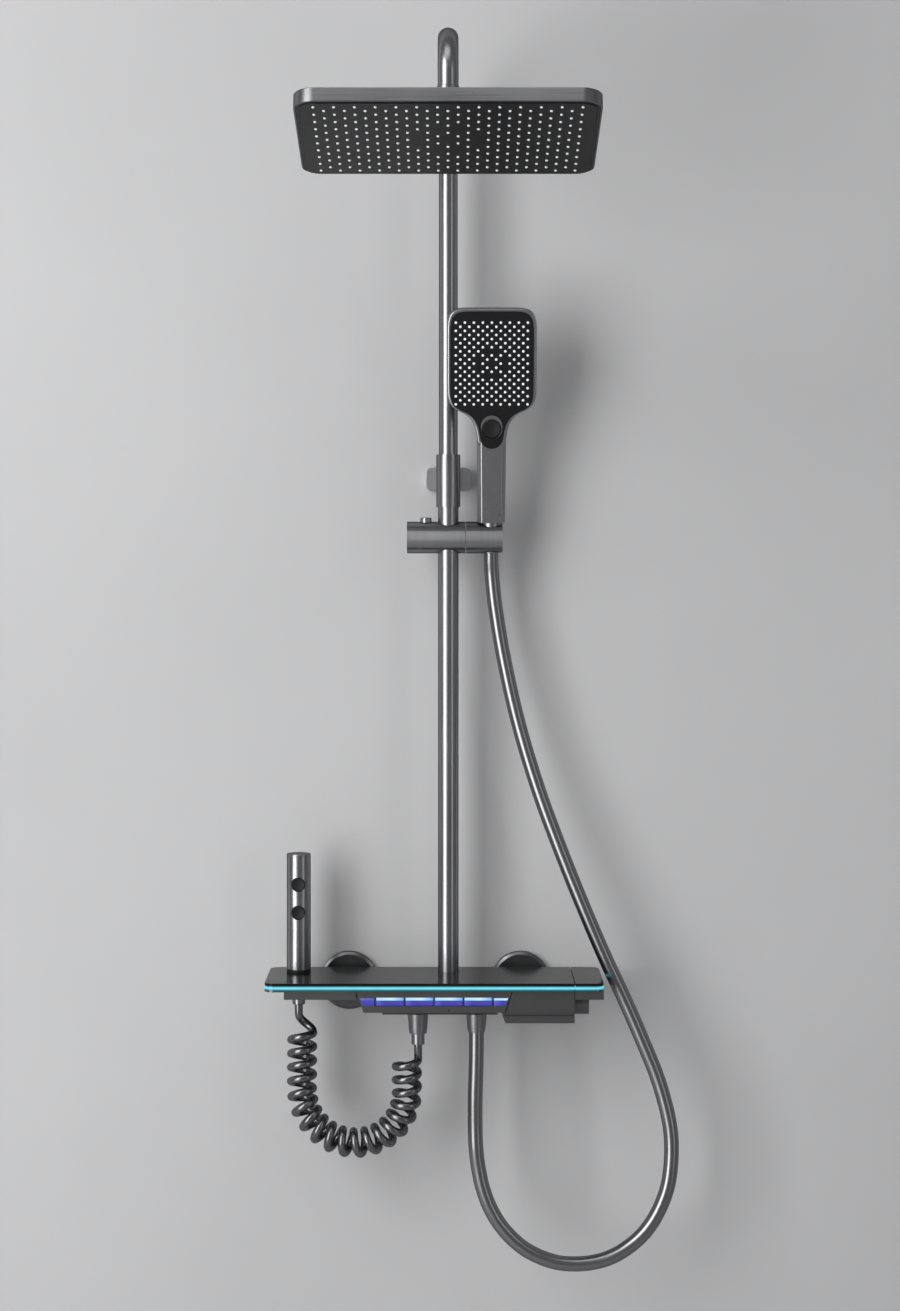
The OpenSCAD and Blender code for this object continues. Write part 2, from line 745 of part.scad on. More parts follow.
module thermostat_cartridge() {
    color(brass_colour) {
        along_x(block_right - cartridge_length + tray_wall, -valve_out, -valve_drop)
            cylinder(d = cartridge_d, h = cartridge_length - tray_wall);
        along_x(block_right - tray_wall, -valve_out, -valve_drop)
            cylinder(d = bearing_d, h = hub_length * 0.62 + tray_wall);
    }
}

module temperature_handle() {
    end_depth = panel_out - shelf_gap - tray_wall;
    color(dark_metal) difference() {
        union() {
            translate([0, 0, plate_bottom]) linear_extrude(tray_plate) handle_part() shelf_plan();
            translate([handle_left + seam / 2, -panel_out, tray_bottom])
                cube([handle_end_width - seam, end_depth, tray_height]);
            along_x(handle_left + seam / 2, -valve_out, -valve_drop) cylinder(d = hub_d, h = hub_length);
        }
        along_x(handle_left, -valve_out, -valve_drop)
            cylinder(d = bearing_d + 2 * run_gap, h = hub_length * 0.7);
    }
}

// Upper riser
guide_stem_d = upper_riser_d - 2 * upper_riser_wall - 2 * run_gap;
guide_collar_d = lower_riser_d - 2 * lower_riser_wall - 2 * run_gap;
guide_groove = guide_ring_d / 2;
guide_ring_shares = [0.3, 0.7];

module at_guide() {
    translate([riser_x, -riser_out, upper_riser_foot - guide_length - seat_gap]) children();
}

module guide_bush() {
    color(silicone) at_guide() difference() {
        union() {
            cylinder(d = guide_collar_d, h = guide_length);
            cylinder(d = guide_stem_d, h = 2 * guide_length);
        }
        translate([0, 0, -cut]) cylinder(d = guide_stem_d / 2, h = 2 * guide_length + 2 * cut);
        for (share = guide_ring_shares) translate([0, 0, share * guide_length - guide_ring_d / 2])
            ring(guide_collar_d + cut, guide_collar_d - 2 * guide_groove, guide_ring_d);
    }
}

module guide_rings() {
    inner_d = guide_collar_d - 2 * guide_groove + 2 * seat_gap;
    color(black_soft) at_guide() for (share = guide_ring_shares)
        translate([0, 0, share * guide_length - guide_ring_d / 2 + seat_gap])
            ring(guide_collar_d, inner_d, guide_ring_d - 2 * seat_gap);
}

riser_bore = upper_riser_d - 2 * upper_riser_wall;

module riser_tube(length) { ring(upper_riser_d, riser_bore, length); }

module riser_bend(radius) {
    rotate_extrude(angle = 90) translate([radius, 0]) difference() {
        circle(d = upper_riser_d);
        circle(d = riser_bore);
    }
}

module upper_riser() {
    straight = arm_height - rear_bend_r - upper_riser_foot;
    arm = arm_reach - rear_bend_r - front_bend_r;
    color(gunmetal) translate([riser_x, -riser_out, 0]) {
        translate([0, 0, upper_riser_foot]) riser_tube(straight);
        translate([0, -rear_bend_r, arm_height - rear_bend_r]) rotate([90, 0, 90]) riser_bend(rear_bend_r);
        translate([0, -rear_bend_r, arm_height]) rotate([90, 0, 0]) riser_tube(arm);
        translate([0, -rear_bend_r - arm, arm_height - front_bend_r]) rotate([0, -90, 0]) rotate([0, 0, 180])
            mirror([1, 0, 0]) riser_bend(front_bend_r);
        translate([0, -arm_reach, arm_height - front_bend_r - arm_leg]) riser_tube(arm_leg);
    }
}

// Ball joint of the head: its middle hangs under the arm's leg
leg_bottom = arm_height - front_bend_r - arm_leg;
ball_drop = ball_d * 1.32;
ball_z = leg_bottom - ball_drop;
collar_height = head_rim * 2 / 3;
seat_d = ball_d + 2 * run_gap;
socket_ball_d = seat_d + 2 * seat_wall + 2 * seat_gap;
ball_boss_d = socket_ball_d + 3.3 * head_wall;
nut_wall = head_wall;
nut_ball_d = ball_d + 2.5 * pass_gap;
nut_top = ball_d * 0.33;
head_bottom = ball_d * 1.27;
head_top = head_bottom - head_rim;

module at_ball() { translate([riser_x, -riser_out - arm_reach, ball_z]) children(); }

module in_head() { at_ball() rotate([-head_tip, 0, 0]) children(); }

module ball_stud() {
    color(gunmetal) at_ball() {
        sphere(d = ball_d);
        cylinder(d = ball_neck_d, h = ball_drop);
        translate([0, 0, ball_drop - collar_height]) cylinder(d = ball_collar_d, h = collar_height);
        translate([0, 0, ball_drop]) cylinder(d = riser_bore - 2 * seat_gap, h = arm_leg / 2);
    }
}

module ball_seat() {
    outer = seat_d / 2 + seat_wall;
    color(silicone) in_head() difference() {
        sphere(r = outer);
        sphere(d = seat_d);
        translate([-outer - cut, -outer - cut, -1.6 * seat_wall]) cube(2 * (outer + cut));
        translate([0, 0, -outer - cut]) cylinder(d = ball_neck_d, h = outer);
    }
}

module head_plan(inset) {
    rounded_rectangle(head_width - 2 * inset, head_depth - 2 * inset, head_corner - inset);
}

head_screw_d = head_wall * 1.6;
head_screw_boss_d = 2.6 * head_screw_d;
head_screw_in = head_wall + head_screw_boss_d / 2 + head_corner / 3;

module head_screw_places() {
    for (x = [-1, 1], y = [-1, 1])
        translate([x * (head_width / 2 - head_screw_in), y * (head_depth / 2 - head_screw_in)]) children();
}

module head_shell() {
    color(gunmetal) in_head() difference() {
        union() {
            translate([0, 0, -head_bottom]) difference() {
                linear_extrude(head_rim) head_plan(0);
                translate([0, 0, -cut]) linear_extrude(head_rim - head_wall + cut) head_plan(head_wall);
            }
            translate([0, 0, -head_top - head_wall]) cylinder(d = ball_boss_d, h = head_top + head_wall);
        }
        sphere(d = socket_ball_d);
        translate([0, 0, -head_bottom]) cylinder(d = ball_neck_d, h = head_bottom);
        translate([0, 0, -head_bottom]) linear_extrude(head_bottom)
            head_screw_places() circle(d = head_screw_d + 2 * seat_gap);
    }
}

module ball_nut() {
    boss_z = nut_wall * 4;
    color(gunmetal) in_head() difference() {
        translate([0, 0, -boss_z]) cylinder(d = ball_boss_d + 2 * nut_wall, h = boss_z + nut_top);
        translate([0, 0, -boss_z - cut])
            cylinder(d = ball_boss_d + 2 * seat_gap, h = boss_z + cut + seat_gap);
        sphere(d = nut_ball_d);
        cylinder(d = nut_ball_d * 0.78, h = nut_top + cut);
    }
}

// The nozzle field: rows of columns, with staggered rows between them.
// The places left out follow the pattern on the face.
head_rows = 10;
head_columns_even = head_nozzle_columns % 2 == 0;

function near_middle(count, i) = min(i, count - 1 - i);
function head_gap(column, row) = let (middle = near_middle(head_nozzle_columns, column),
    end = near_middle(head_rows, row)) (middle == 5 && end == 4) || (middle == 6 && end == 3);

module head_nozzle_places() {
    for (column = [0 : head_nozzle_columns - 1], row = [0 : head_rows - 1]) if (!head_gap(column, row))
        translate([(column - (head_nozzle_columns - 1) / 2) * head_nozzle_pitch_x,
            (row - (head_rows - 1) / 2) * head_nozzle_pitch_y]) children();
    for (column = [0 : head_nozzle_columns - 2], row = [0 : head_rows - 2])
        if (!(head_columns_even && column == head_nozzle_columns / 2 - 1 && row == head_rows / 2 - 1))
            translate([(column - (head_nozzle_columns - 2) / 2) * head_nozzle_pitch_x,
                (row - (head_rows - 2) / 2) * head_nozzle_pitch_y]) children();
}

face_thick = head_wall * 1.5;
mat_thick = head_wall;
nozzle_proud = head_wall;

module head_face() {
    color(black_gloss) in_head() translate([0, 0, -head_bottom]) {
        linear_extrude(face_thick) difference() {
            head_plan(head_wall + seat_gap);
            head_nozzle_places() circle(d = head_nozzle_d + 2 * seat_gap);
        }
        translate([0, 0, face_thick]) linear_extrude(head_rim - head_wall - face_thick) difference() {
            head_screw_places() circle(d = head_screw_boss_d);
            head_screw_places() circle(d = head_screw_d - seat_gap);
        }
    }
}

module head_nozzles() {
    color(silicone) in_head() translate([0, 0, -head_bottom]) {
        translate([0, 0, face_thick]) linear_extrude(mat_thick) difference() {
            head_plan(head_wall * 2);
            head_screw_places() circle(d = head_screw_boss_d + 2 * seat_gap);
        }
        translate([0, 0, -nozzle_proud]) linear_extrude(nozzle_proud + face_thick)
            head_nozzle_places() circle(d = head_nozzle_d);
    }
}

module head_screws() {
    color(steel) in_head() head_screw_places() {
        translate([0, 0, -head_top]) cylinder(d = 2 * head_screw_d, h = head_wall);
        translate([0, 0, -head_bottom + face_thick])
            cylinder(d = head_screw_d - seat_gap, h = head_rim - face_thick);
    }
}

// Slider
slider_bush_d = lower_riser_d + 4.4 * lower_riser_wall;
bush_length = slider_d * 0.64;
seam_x = riser_x + slider_right;
spigot_d = slider_d * 0.43;
spigot_length = holder_axis_in / 3;
pivot_d = spigot_d / 2;
pivot_head = washer_thickness * 1.5;
button_x = riser_x - slider_button_in;
slider_button_proud = slider_button_d * 0.37;
button_top = slider_d / 2 + slider_button_proud;
button_length = slider_d / 3;
spring_length = slider_d * 0.3;
button_hole_depth = button_length + spring_length - (button_top - slider_d / 2);

module at_slider() { translate([0, -riser_out, slider_height]) children(); }

module slider_body() {
    color(gunmetal) at_slider() difference() {
        union() {
            along_x(riser_x - slider_left, 0, 0) cylinder(d = slider_d, h = slider_left + slider_right);
            along_x(seam_x, 0, 0) cylinder(d = spigot_d, h = spigot_length);
        }
        translate([riser_x, 0, -slider_d]) cylinder(d = lower_riser_d + 2 * pass_gap, h = 2 * slider_d);
        translate([riser_x, 0, -bush_length / 2 - seat_gap])
            cylinder(d = slider_bush_d + 2 * seat_gap, h = bush_length + 2 * seat_gap);
        translate([button_x, 0, slider_d / 2 - button_hole_depth])
            cylinder(d = slider_button_d + 2 * pass_gap, h = slider_d);
        along_x(seam_x - spigot_length / 4, 0, 0)
            cylinder(d = pivot_d, h = 1.25 * spigot_length + cut);
    }
}

module slider_bush() {
    color(black_soft) at_slider() translate([riser_x, 0, -bush_length / 2])
        ring(slider_bush_d, lower_riser_d + 2 * run_gap, bush_length);
}

module slider_button() {
    color(gunmetal) at_slider() translate([button_x, 0, button_top - button_length])
        cylinder(d = slider_button_d, h = button_length);
}

module slider_spring() {
    color(steel) at_slider() translate([button_x, 0, button_top - button_length - spring_length])
        ring(slider_button_d * 0.7, slider_button_d * 0.5, spring_length);
}

module pivot_screw() {
    color(steel) at_slider() {
        along_x(seam_x - spigot_length / 4, 0, 0)
            cylinder(d = pivot_d - 2 * seat_gap, h = 1.25 * spigot_length);
        along_x(seam_x + spigot_length, 0, 0) cylinder(d = 1.5 * pivot_d, h = pivot_head);
    }
}

// Handset frame: its origin is where the handset's axis meets the holder's axis
handset_x = seam_x + holder_axis_in;
socket_gap = pass_gap;
handset_foot = slider_d / 2 + pass_gap;
nut_foot = handset_foot - cone_nut_length;

module in_handset() { at_slider() translate([handset_x, 0, 0]) rotate([handset_lean, 0, 0]) children(); }

module cone(top_d, bottom_d, length) { cylinder(d1 = bottom_d, d2 = top_d, h = length); }

module handset_holder() {
    notch = hose_d + 4 * pass_gap;
    color(gunmetal) difference() {
        at_slider() along_x(seam_x + seam, 0, 0) cylinder(d = slider_d, h = holder_length - seam);
        in_handset() translate([0, 0, nut_foot])
            cone(cone_nut_d + 2 * socket_gap, cone_nut_tip_d + 2 * socket_gap, cone_nut_length);
        in_handset() translate([0, 0, -slider_d])
            cylinder(d = cone_nut_tip_d + 2 * socket_gap, h = slider_d);
        in_handset() cylinder(d = cone_nut_d + 2 * socket_gap, h = slider_d);
        in_handset() translate([0, -notch / 2, -slider_d]) cube([holder_length, notch, 2 * slider_d]);
        at_slider() along_x(seam_x, 0, 0)
            cylinder(d = spigot_d + 2 * run_gap, h = spigot_length + seat_gap + seam);
        at_slider() along_x(seam_x + spigot_length, 0, 0)
            cylinder(d = 1.5 * pivot_d + 2 * pass_gap, h = pivot_head + 2 * pass_gap);
        at_slider() along_x(seam_x, 0, 0) cylinder(d = pivot_d * 0.7, h = holder_axis_in);
    }
}

head_foot = handset_foot + handle_length;
neck_foot = head_foot - neck_length;
handset_wall = handset_thick / 8;
handset_front = handle_thick / 2;
face_rim = handset_wall * 1.1;
face_depth = handset_wall;
tongue_foot = neck_foot - neck_length / 3;
button_z = neck_foot + neck_length * 0.37;

// The nozzle field and the chamber behind it
handset_columns = 9;
handset_middle_row = (handset_nozzle_rows - 1) / 2;
field_z = head_foot + handset_head_height / 2 - handset_corner * 0.3;
field_edge = handset_nozzle_d * 1.5;
field_width = (handset_columns - 1) * handset_nozzle_pitch + 2 * field_edge;
field_height = (handset_nozzle_rows - 1) * handset_row_pitch + 2 * field_edge;

module handset_field(inset) {
    translate([0, field_z])
        rounded_rectangle(field_width - 2 * inset, field_height - 2 * inset, field_edge - inset);
}

// Outline of the head with its shoulders, in the handset's own X and Z
module handset_outline(inset) {
    translate([0, head_foot + handset_head_height / 2]) rounded_rectangle(handset_width - 2 * inset,
        handset_head_height - 2 * inset, handset_corner - inset);
    polygon([[-handle_width / 2 + inset, neck_foot], [handle_width / 2 - inset, neck_foot],
        [handle_width * 0.62 - inset, neck_foot + neck_length * 0.6],
        [handset_width / 2 - handset_corner, head_foot + inset],
        [handset_width / 2 - handset_corner, head_foot + handset_corner],
        [-handset_width / 2 + handset_corner, head_foot + handset_corner],
        [-handset_width / 2 + handset_corner, head_foot + inset],
        [-handle_width * 0.62 + inset, neck_foot + neck_length * 0.6]]);
}

// The black front: it fills the head and the neck, and its tongue has a round end on the handle
module face_outline(inset) {
    tongue_d = handle_width - 2 * face_rim;
    tongue_middle = tongue_foot + tongue_d / 2;
    handset_outline(face_rim + inset);
    translate([-tongue_d / 2 + inset, tongue_middle])
        square([tongue_d - 2 * inset, max(neck_foot - tongue_middle, 0) + cut]);
    translate([0, tongue_middle]) circle(d = tongue_d - 2 * inset);
}

// Stands an outline up in the handset's frame, from one depth to another
module standing(front, back) {
    translate([0, back, 0]) rotate([90, 0, 0]) linear_extrude(front + back) children();
}

module handset_shell() {
    waterway = handset_thread_d * 0.55;
    color(gunmetal) in_handset() difference() {
        union() {
            standing(handset_front, handset_thick - handset_front) handset_outline(0);
            translate([0, 0, handset_foot]) linear_extrude(handle_length - neck_length / 2)
                rounded_rectangle(handle_width, handle_thick, handle_thick * 0.4);
            translate([0, 0, handset_foot - cone_nut_length * 0.36])
                cylinder(d = handset_thread_d, h = cone_nut_length * 0.36 + cut);
        }
        translate([0, 0, handset_foot - cone_nut_length])
            cylinder(d = waterway, h = cone_nut_length + handle_length);
        standing(handset_front + cut, -handset_front + face_depth) face_outline(0);
        standing(handset_front, -handset_front + face_depth + handset_wall) {
            handset_field(0);
            translate([-waterway / 2, button_z]) square([waterway, field_z - button_z]);
        }
        translate([0, 0, button_z]) rotate([90, 0, 0])
            cylinder(d = mode_button_d + 2 * pass_gap, h = handset_thick);
    }
}

// Rows of nine and eight nozzles in turn, with a small ring of places left out in the middle
function handset_gap(row, i, count) = let (from_middle = abs(row - handset_middle_row),
    middle = near_middle(count, i))
    (from_middle == 3 && count == 8 && middle == 3) || (from_middle == 1 && count == 8 && middle == 2)
    || (from_middle == 0 && count == 9 && middle == 4);

module handset_nozzle_places() {
    for (row = [0 : handset_nozzle_rows - 1]) {
        count = handset_columns - row % 2;
        for (i = [0 : count - 1]) if (!handset_gap(row, i, count))
            translate([(i - (count - 1) / 2) * handset_nozzle_pitch,
                field_z + (row - handset_middle_row) * handset_row_pitch]) children();
    }
}

module handset_face() {
    plate = face_depth * 0.8;
    color(black_gloss) in_handset() standing(handset_front, -handset_front + plate) difference() {
        face_outline(seat_gap);
        handset_nozzle_places() circle(d = handset_nozzle_d + 2 * seat_gap);
        translate([0, button_z]) circle(d = mode_button_d + 2 * pass_gap);
    }
}

module handset_nozzles() {
    plate = face_depth * 0.8;
    color(silicone) in_handset() {
        standing(handset_front - plate, -handset_front + face_depth + handset_wall * 0.8)
            handset_field(seat_gap);
        standing(handset_front + handset_wall / 5, -handset_front + plate)
            handset_nozzle_places() circle(d = handset_nozzle_d);
    }
}

module mode_button() {
    color(black_soft) in_handset() translate([0, -handset_front + mode_button_d * 0.22, button_z])
        rotate([90, 0, 0]) cylinder(d = mode_button_d, h = mode_button_d * 0.27);
}

module handset_hose_nut() {
    color(gunmetal) in_handset() translate([0, 0, nut_foot]) difference() {
        cone(cone_nut_d, cone_nut_tip_d, cone_nut_length);
        translate([0, 0, -cut]) cylinder(d = hose_d + 2 * seat_gap, h = cone_nut_length);
        translate([0, 0, cone_nut_length * 0.6])
            cylinder(d = handset_thread_d + 2 * seat_gap, h = cone_nut_length);
    }
}

// Nuts on the mixer's outlets
nut_top_z = manifold_bottom - washer_thickness;
coil_sleeve_d = coil_tube_d + 2.75 * washer_thickness;
coil_sleeve_length = outlet_nut_length * 0.62;
nut_flare = outlet_nut_d * 0.08;

module outlet_nut(length, tube_d) {
    neck = length - outlet_thread + washer_thickness - 2 * seat_gap;
    translate([0, 0, -length]) difference() {
        union() {
            cylinder(d = outlet_nut_d - 2 * nut_flare, h = length);
            translate([0, 0, length * 0.15])
                cylinder(d1 = outlet_nut_d - 2 * nut_flare, d2 = outlet_nut_d, h = length * 0.85);
        }
        translate([0, 0, neck]) cylinder(d = outlet_thread_d + 2 * seat_gap, h = length);
        translate([0, 0, -cut]) cylinder(d = tube_d + 2 * seat_gap, h = length);
    }
}

module mixer_hose_nut() {
    color(gunmetal) translate([handset_outlet_x, -outlet_out, nut_top_z])
        outlet_nut(outlet_nut_length, hose_d);
}

module coil_nut() {
    coil_nut_length = outlet_nut_length + washer_thickness;
    color(gunmetal) translate([-coil_outlet_x, -outlet_out, nut_top_z]) {
        outlet_nut(coil_nut_length, coil_tube_d);
        translate([0, 0, -coil_nut_length - coil_sleeve_length])
            ring(coil_sleeve_d, coil_tube_d + 2 * seat_gap, coil_sleeve_length);
    }
}

// Wand
wand_foot = shelf_top + socket_collar;
wand_top = wand_foot + wand_length;
cap_height = wand_d / 7;
socket_bottom = tray_bottom - tray_wall / 2;
wand_nut_top = socket_bottom - tray_wall / 4;
wand_nut_length = wand_d * 0.63;
wand_nut_d = coil_tube_d + 2.6 * tray_wall;
wand_button_depth = wand_button_d / 2;
wand_button_proud = tray_wall * 0.7;
wand_bore = wand_d / 3;

module at_wand() { translate([-wand_x, -wand_out, 0]) children(); }

module wand_socket() {
    color(black_gloss) at_wand() difference() {
        union() {
            translate([0, 0, socket_bottom]) cylinder(d = socket_d, h = shelf_top - socket_bottom);
            translate([0, 0, shelf_top]) cylinder(d = wand_d, h = socket_collar);
        }
        translate([0, 0, socket_bottom - cut])
            cylinder(d = wand_tail_d + 2 * pass_gap, h = wand_foot - socket_bottom + 2 * cut);
        translate([-hose_slot / 2, 0, socket_bottom - cut])
            cube([hose_slot, wand_d, wand_foot - socket_bottom + 2 * cut]);
    }
}

module wand_tube() {
    color(gunmetal) at_wand() difference() {
        union() {
            translate([0, 0, wand_foot + seat_gap])
                cylinder(d = wand_d, h = wand_length - cap_height - seat_gap);
            translate([0, 0, wand_nut_top]) cylinder(d = wand_tail_d, h = wand_foot - wand_nut_top + cut);
        }
        translate([0, 0, wand_nut_top - cut]) cylinder(d = wand_bore, h = wand_top - wand_nut_top);
        for (z = [wand_button_high, wand_button_high - wand_button_span])
            translate([0, 0, z]) rotate([90, 0, 0]) translate([0, 0, wand_d / 2 - wand_button_depth])
                cylinder(d = wand_button_d + 2 * pass_gap, h = wand_d);
    }
}

module wand_cap() {
    color(black_soft) at_wand() {
        translate([0, 0, wand_top - cap_height]) cylinder(d = wand_d, h = cap_height);
        translate([0, 0, wand_top - 3 * cap_height])
            cylinder(d = wand_bore - 2 * seat_gap, h = 2 * cap_height);
    }
}

module wand_button(z) {
    length = wand_button_depth + wand_button_proud - key_travel / 2 - pass_gap;
    color(black_soft) at_wand() translate([0, 0, z]) rotate([90, 0, 0])
        translate([0, 0, wand_d / 2 + wand_button_proud - length]) cylinder(d = wand_button_d, h = length);
}

module wand_upper_button() { wand_button(wand_button_high); }
module wand_lower_button() { wand_button(wand_button_high - wand_button_span); }

module wand_nut() {
    color(gunmetal) at_wand() translate([0, 0, wand_nut_top - wand_nut_length]) difference() {
        cylinder(d = wand_nut_d, h = wand_nut_length);
        translate([0, 0, -cut]) cylinder(d = coil_tube_d + 2 * seat_gap, h = wand_nut_length / 2 + cut);
    }
}

// Tubes: rings of points across a route, joined into one closed solid
function unit(v) = v / norm(v);
function heading(route, i) =
    unit(route[min(i + 1, len(route) - 1)] - route[max(i - 1, 0)]);

// A ring's own upright, turned from ring to ring as little as the route lets it
function upright(route, i, last) = let (along = heading(route, i)) unit(last - (last * along) * along);
function uprights(route, first) = [for (i = 0, up = upright(route, 0, first); i < len(route);
    i = i + 1, up = i < len(route) ? upright(route, i, up) : up) up];

module tube(route, radius, sides, first) {
    ups = uprights(route, first);
    points = [for (i = [0 : len(route) - 1]) let (along = heading(route, i), side = cross(along, ups[i]))
        for (k = [0 : sides - 1]) route[i]
            + radius * (cos(360 * k / sides) * ups[i] + sin(360 * k / sides) * side)];
    skin = [for (i = [0 : len(route) - 2], k = [0 : sides - 1]) let (a = i * sides, n = (k + 1) % sides)
        each [[a + k, a + sides + n, a + n], [a + k, a + sides + k, a + sides + n]]];
    last = (len(route) - 1) * sides;
    ends = [for (k = [1 : sides - 2]) each [[0, k, k + 1], [last, last + k + 1, last + k]]];
    polyhedron(points, concat(skin, ends));
}

// Handset hose: from inside the cone nut down past the shelf's end and up to the mixer's nut
hose_sides = 12;
hose_start_in = cone_nut_length / 12;
hose_end_in = outlet_nut_length * 0.3;
function leaning(z) = [handset_x, -riser_out - sin(handset_lean) * z, slider_height + cos(handset_lean) * z];
shower_hose_route = concat(
    [leaning(hose_start_in), leaning(nut_foot - hose_d / 2)],
    [[67, -54, 480], [70, -53, 450], [77, -54, 404], [86, -56, 358], [97, -59, 311], [110, -63, 265],
        [125, -67, 219], [142, -71, 173], [160, -75, 127], [179, -79, 81], [199, -82, 35], [220, -85, -10],
        [240, -89, -56], [258, -93, -101], [270, -97, -146], [273, -99, -180], [270, -101, -214],
        [263, -102, -238], [252, -103, -260], [238, -104, -278], [221, -105, -292], [203, -106, -302],
        [183, -106, -308], [161, -106, -310], [140, -106, -308], [121, -105, -302], [104, -105, -293],
        [89, -104, -281], [75, -103, -265], [64, -103, -246], [56, -102, -225], [51, -101, -203],
        [48, -101, -180], [47, -100, -155], [47, -100, -120], [48, -100, -85]],
    [[handset_outlet_x, -outlet_out, nut_top_z - outlet_nut_length - hose_d / 2],
        [handset_outlet_x, -outlet_out, nut_top_z - outlet_nut_length + hose_end_in]]);

module shower_hose() {
    color(dark_metal) tube(shower_hose_route, hose_d / 2, hose_sides, [1, 0, 0]);
}

// Coil hose: its axis runs straight down beside the wand's nut, round a hanging half circle and
// straight up beside the coil nut, so that the last curl ends right under that nut. Places along
// it are counted in millimetres from its upper left end.
coil_start_z = wand_nut_top - wand_nut_length * 0.7;
coil_end_z = nut_top_z - outlet_nut_length - washer_thickness - coil_sleeve_length / 2;
coil_right_x = coil_outlet_x + curl_r;
coil_left_x = coil_right_x + 2 * coil_bend_r;
coil_leg = coil_bend_r * 1.66;
coil_arc = PI * coil_bend_r;
coil_total = coil_leg + coil_arc + coil_end_z - coil_start_z + coil_leg;
coil_plane = (outlet_out - wand_out) / coil_total;
coil_lead = 4 * coil_tube_d;
coil_tail = 2.6 * coil_tube_d;
coil_sides = 6;
coil_rings = 8;

// The axis at a place along it, and the way it heads there
function coil_axis(s) = s < coil_leg ? [-coil_left_x, -wand_out - s * coil_plane, coil_start_z - s]
    : s < coil_leg + coil_arc
    ? let (a = (s - coil_leg) / coil_bend_r * 180 / PI) [-coil_left_x + coil_bend_r * (1 - cos(a)),
        -wand_out - s * coil_plane, coil_start_z - coil_leg - coil_bend_r * sin(a)]
    : [-coil_right_x, -wand_out - s * coil_plane, coil_end_z - coil_total + s];
function coil_heading(s) = unit(coil_axis(min(s + coil_tube_d / 4, coil_total))
    - coil_axis(max(s - coil_tube_d / 4, 0)));

// The tube swings out from under the wand's nut by a quarter of a turn before the first curl
coil_wound = coil_total - coil_lead - coil_tail;
coil_pitch = coil_wound / curls;
coil_steps = round(curls * coil_rings);
swing_steps = coil_rings / 2;
swing_length = coil_lead * 0.6;
function coil_point(s, turn) = let (along = coil_heading(s), side = unit(cross(along, [0, 1, 0])),
    front = cross(side, along)) coil_axis(s) + curl_r * (cos(turn) * side - sin(turn) * front);
function swing(share) = let (out = (1 - cos(180 * share)) / 2, s = coil_lead - swing_length * (1 - share))
    (1 - out) * [-wand_x, -wand_out, coil_start_z - s] + out * coil_point(s, -90 * (1 - share));
coil_route = concat([[-wand_x, -wand_out, coil_start_z]],
    [for (i = [0 : swing_steps - 1]) swing(i / swing_steps)],
    [for (i = [0 : coil_steps]) let (turned = i * coil_wound / coil_steps)
        coil_point(coil_lead + turned, 360 * turned / coil_pitch)],
    [[-coil_outlet_x, -outlet_out, coil_end_z - coil_tail / 2], [-coil_outlet_x, -outlet_out, coil_end_z]]);

// Least gap between the tube and itself, measured over rings more than half a curl apart
coil_self_gap = min([for (i = [0 : len(coil_route) - 1], k = [i + coil_rings / 2 : len(coil_route) - 1])
    norm(coil_route[i] - coil_route[k])]) - coil_tube_d;
echo(coil_self_gap = coil_self_gap, coil_rings = len(coil_route));

module coil_hose() {
    color(black_soft) tube(coil_route, coil_tube_d / 2, coil_sides, [1, 0, 0]);
}

wall_unions();
wall_flanges();
union_nuts();
inlet_washers();
bracket_plate();
bracket_block();
grub_screws();
mixer_body();
under_tray();
shelf_glass();
shelf_light_guide();
led_board();
turbine_unit();
key_bezel();
diverter_cartridges();
spout_block();
spout_insert();
thermostat_cartridge();
wand_socket();
tray_screws();
lower_riser();
lock_sleeve();
riser_collet();
coil_nut();
mixer_hose_nut();
temperature_handle();
handle_glass();
handle_light_guide();
overhead_key();
handset_key();
wand_key();
spout_key();
guide_bush();
guide_rings();
upper_riser();
ball_stud();
ball_seat();
head_shell();
head_face();
head_nozzles();
ball_nut();
head_screws();
slider_body();
slider_bush();
slider_button();
slider_spring();
pivot_screw();
handset_holder();
handset_shell();
handset_face();
handset_nozzles();
handset_hose_nut();
mode_button();
wand_tube();
wand_cap();
wand_nut();
wand_upper_button();
wand_lower_button();
coil_hose();
shower_hose();
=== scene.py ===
import json
import math

import bmesh
import bpy
from mathutils import Matrix, Vector


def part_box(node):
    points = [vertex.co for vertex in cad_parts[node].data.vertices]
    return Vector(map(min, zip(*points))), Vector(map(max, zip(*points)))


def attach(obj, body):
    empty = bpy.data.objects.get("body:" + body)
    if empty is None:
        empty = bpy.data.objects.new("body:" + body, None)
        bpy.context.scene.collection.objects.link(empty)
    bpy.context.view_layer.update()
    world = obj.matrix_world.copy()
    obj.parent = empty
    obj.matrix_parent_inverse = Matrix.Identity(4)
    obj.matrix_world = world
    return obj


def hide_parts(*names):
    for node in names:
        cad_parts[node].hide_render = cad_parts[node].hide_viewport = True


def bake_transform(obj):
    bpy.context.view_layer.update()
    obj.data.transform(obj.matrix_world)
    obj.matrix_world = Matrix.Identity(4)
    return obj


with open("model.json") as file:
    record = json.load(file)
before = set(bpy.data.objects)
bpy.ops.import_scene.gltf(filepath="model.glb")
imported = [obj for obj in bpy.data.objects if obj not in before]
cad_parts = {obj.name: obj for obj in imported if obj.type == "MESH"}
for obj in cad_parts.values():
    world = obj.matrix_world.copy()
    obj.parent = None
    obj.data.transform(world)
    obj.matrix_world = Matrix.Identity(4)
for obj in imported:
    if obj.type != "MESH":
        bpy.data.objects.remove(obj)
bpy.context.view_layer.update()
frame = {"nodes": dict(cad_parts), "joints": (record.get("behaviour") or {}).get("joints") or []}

# The camera: three metres in front of the column, level with the middle of the riser, with a long
# lens that is shifted down a little, so that upright lines stay upright.
bpy.ops.object.camera_add(location=(0.018, -3.172, 0.510), rotation=(math.radians(90), 0, 0))
photo_camera = bpy.context.object
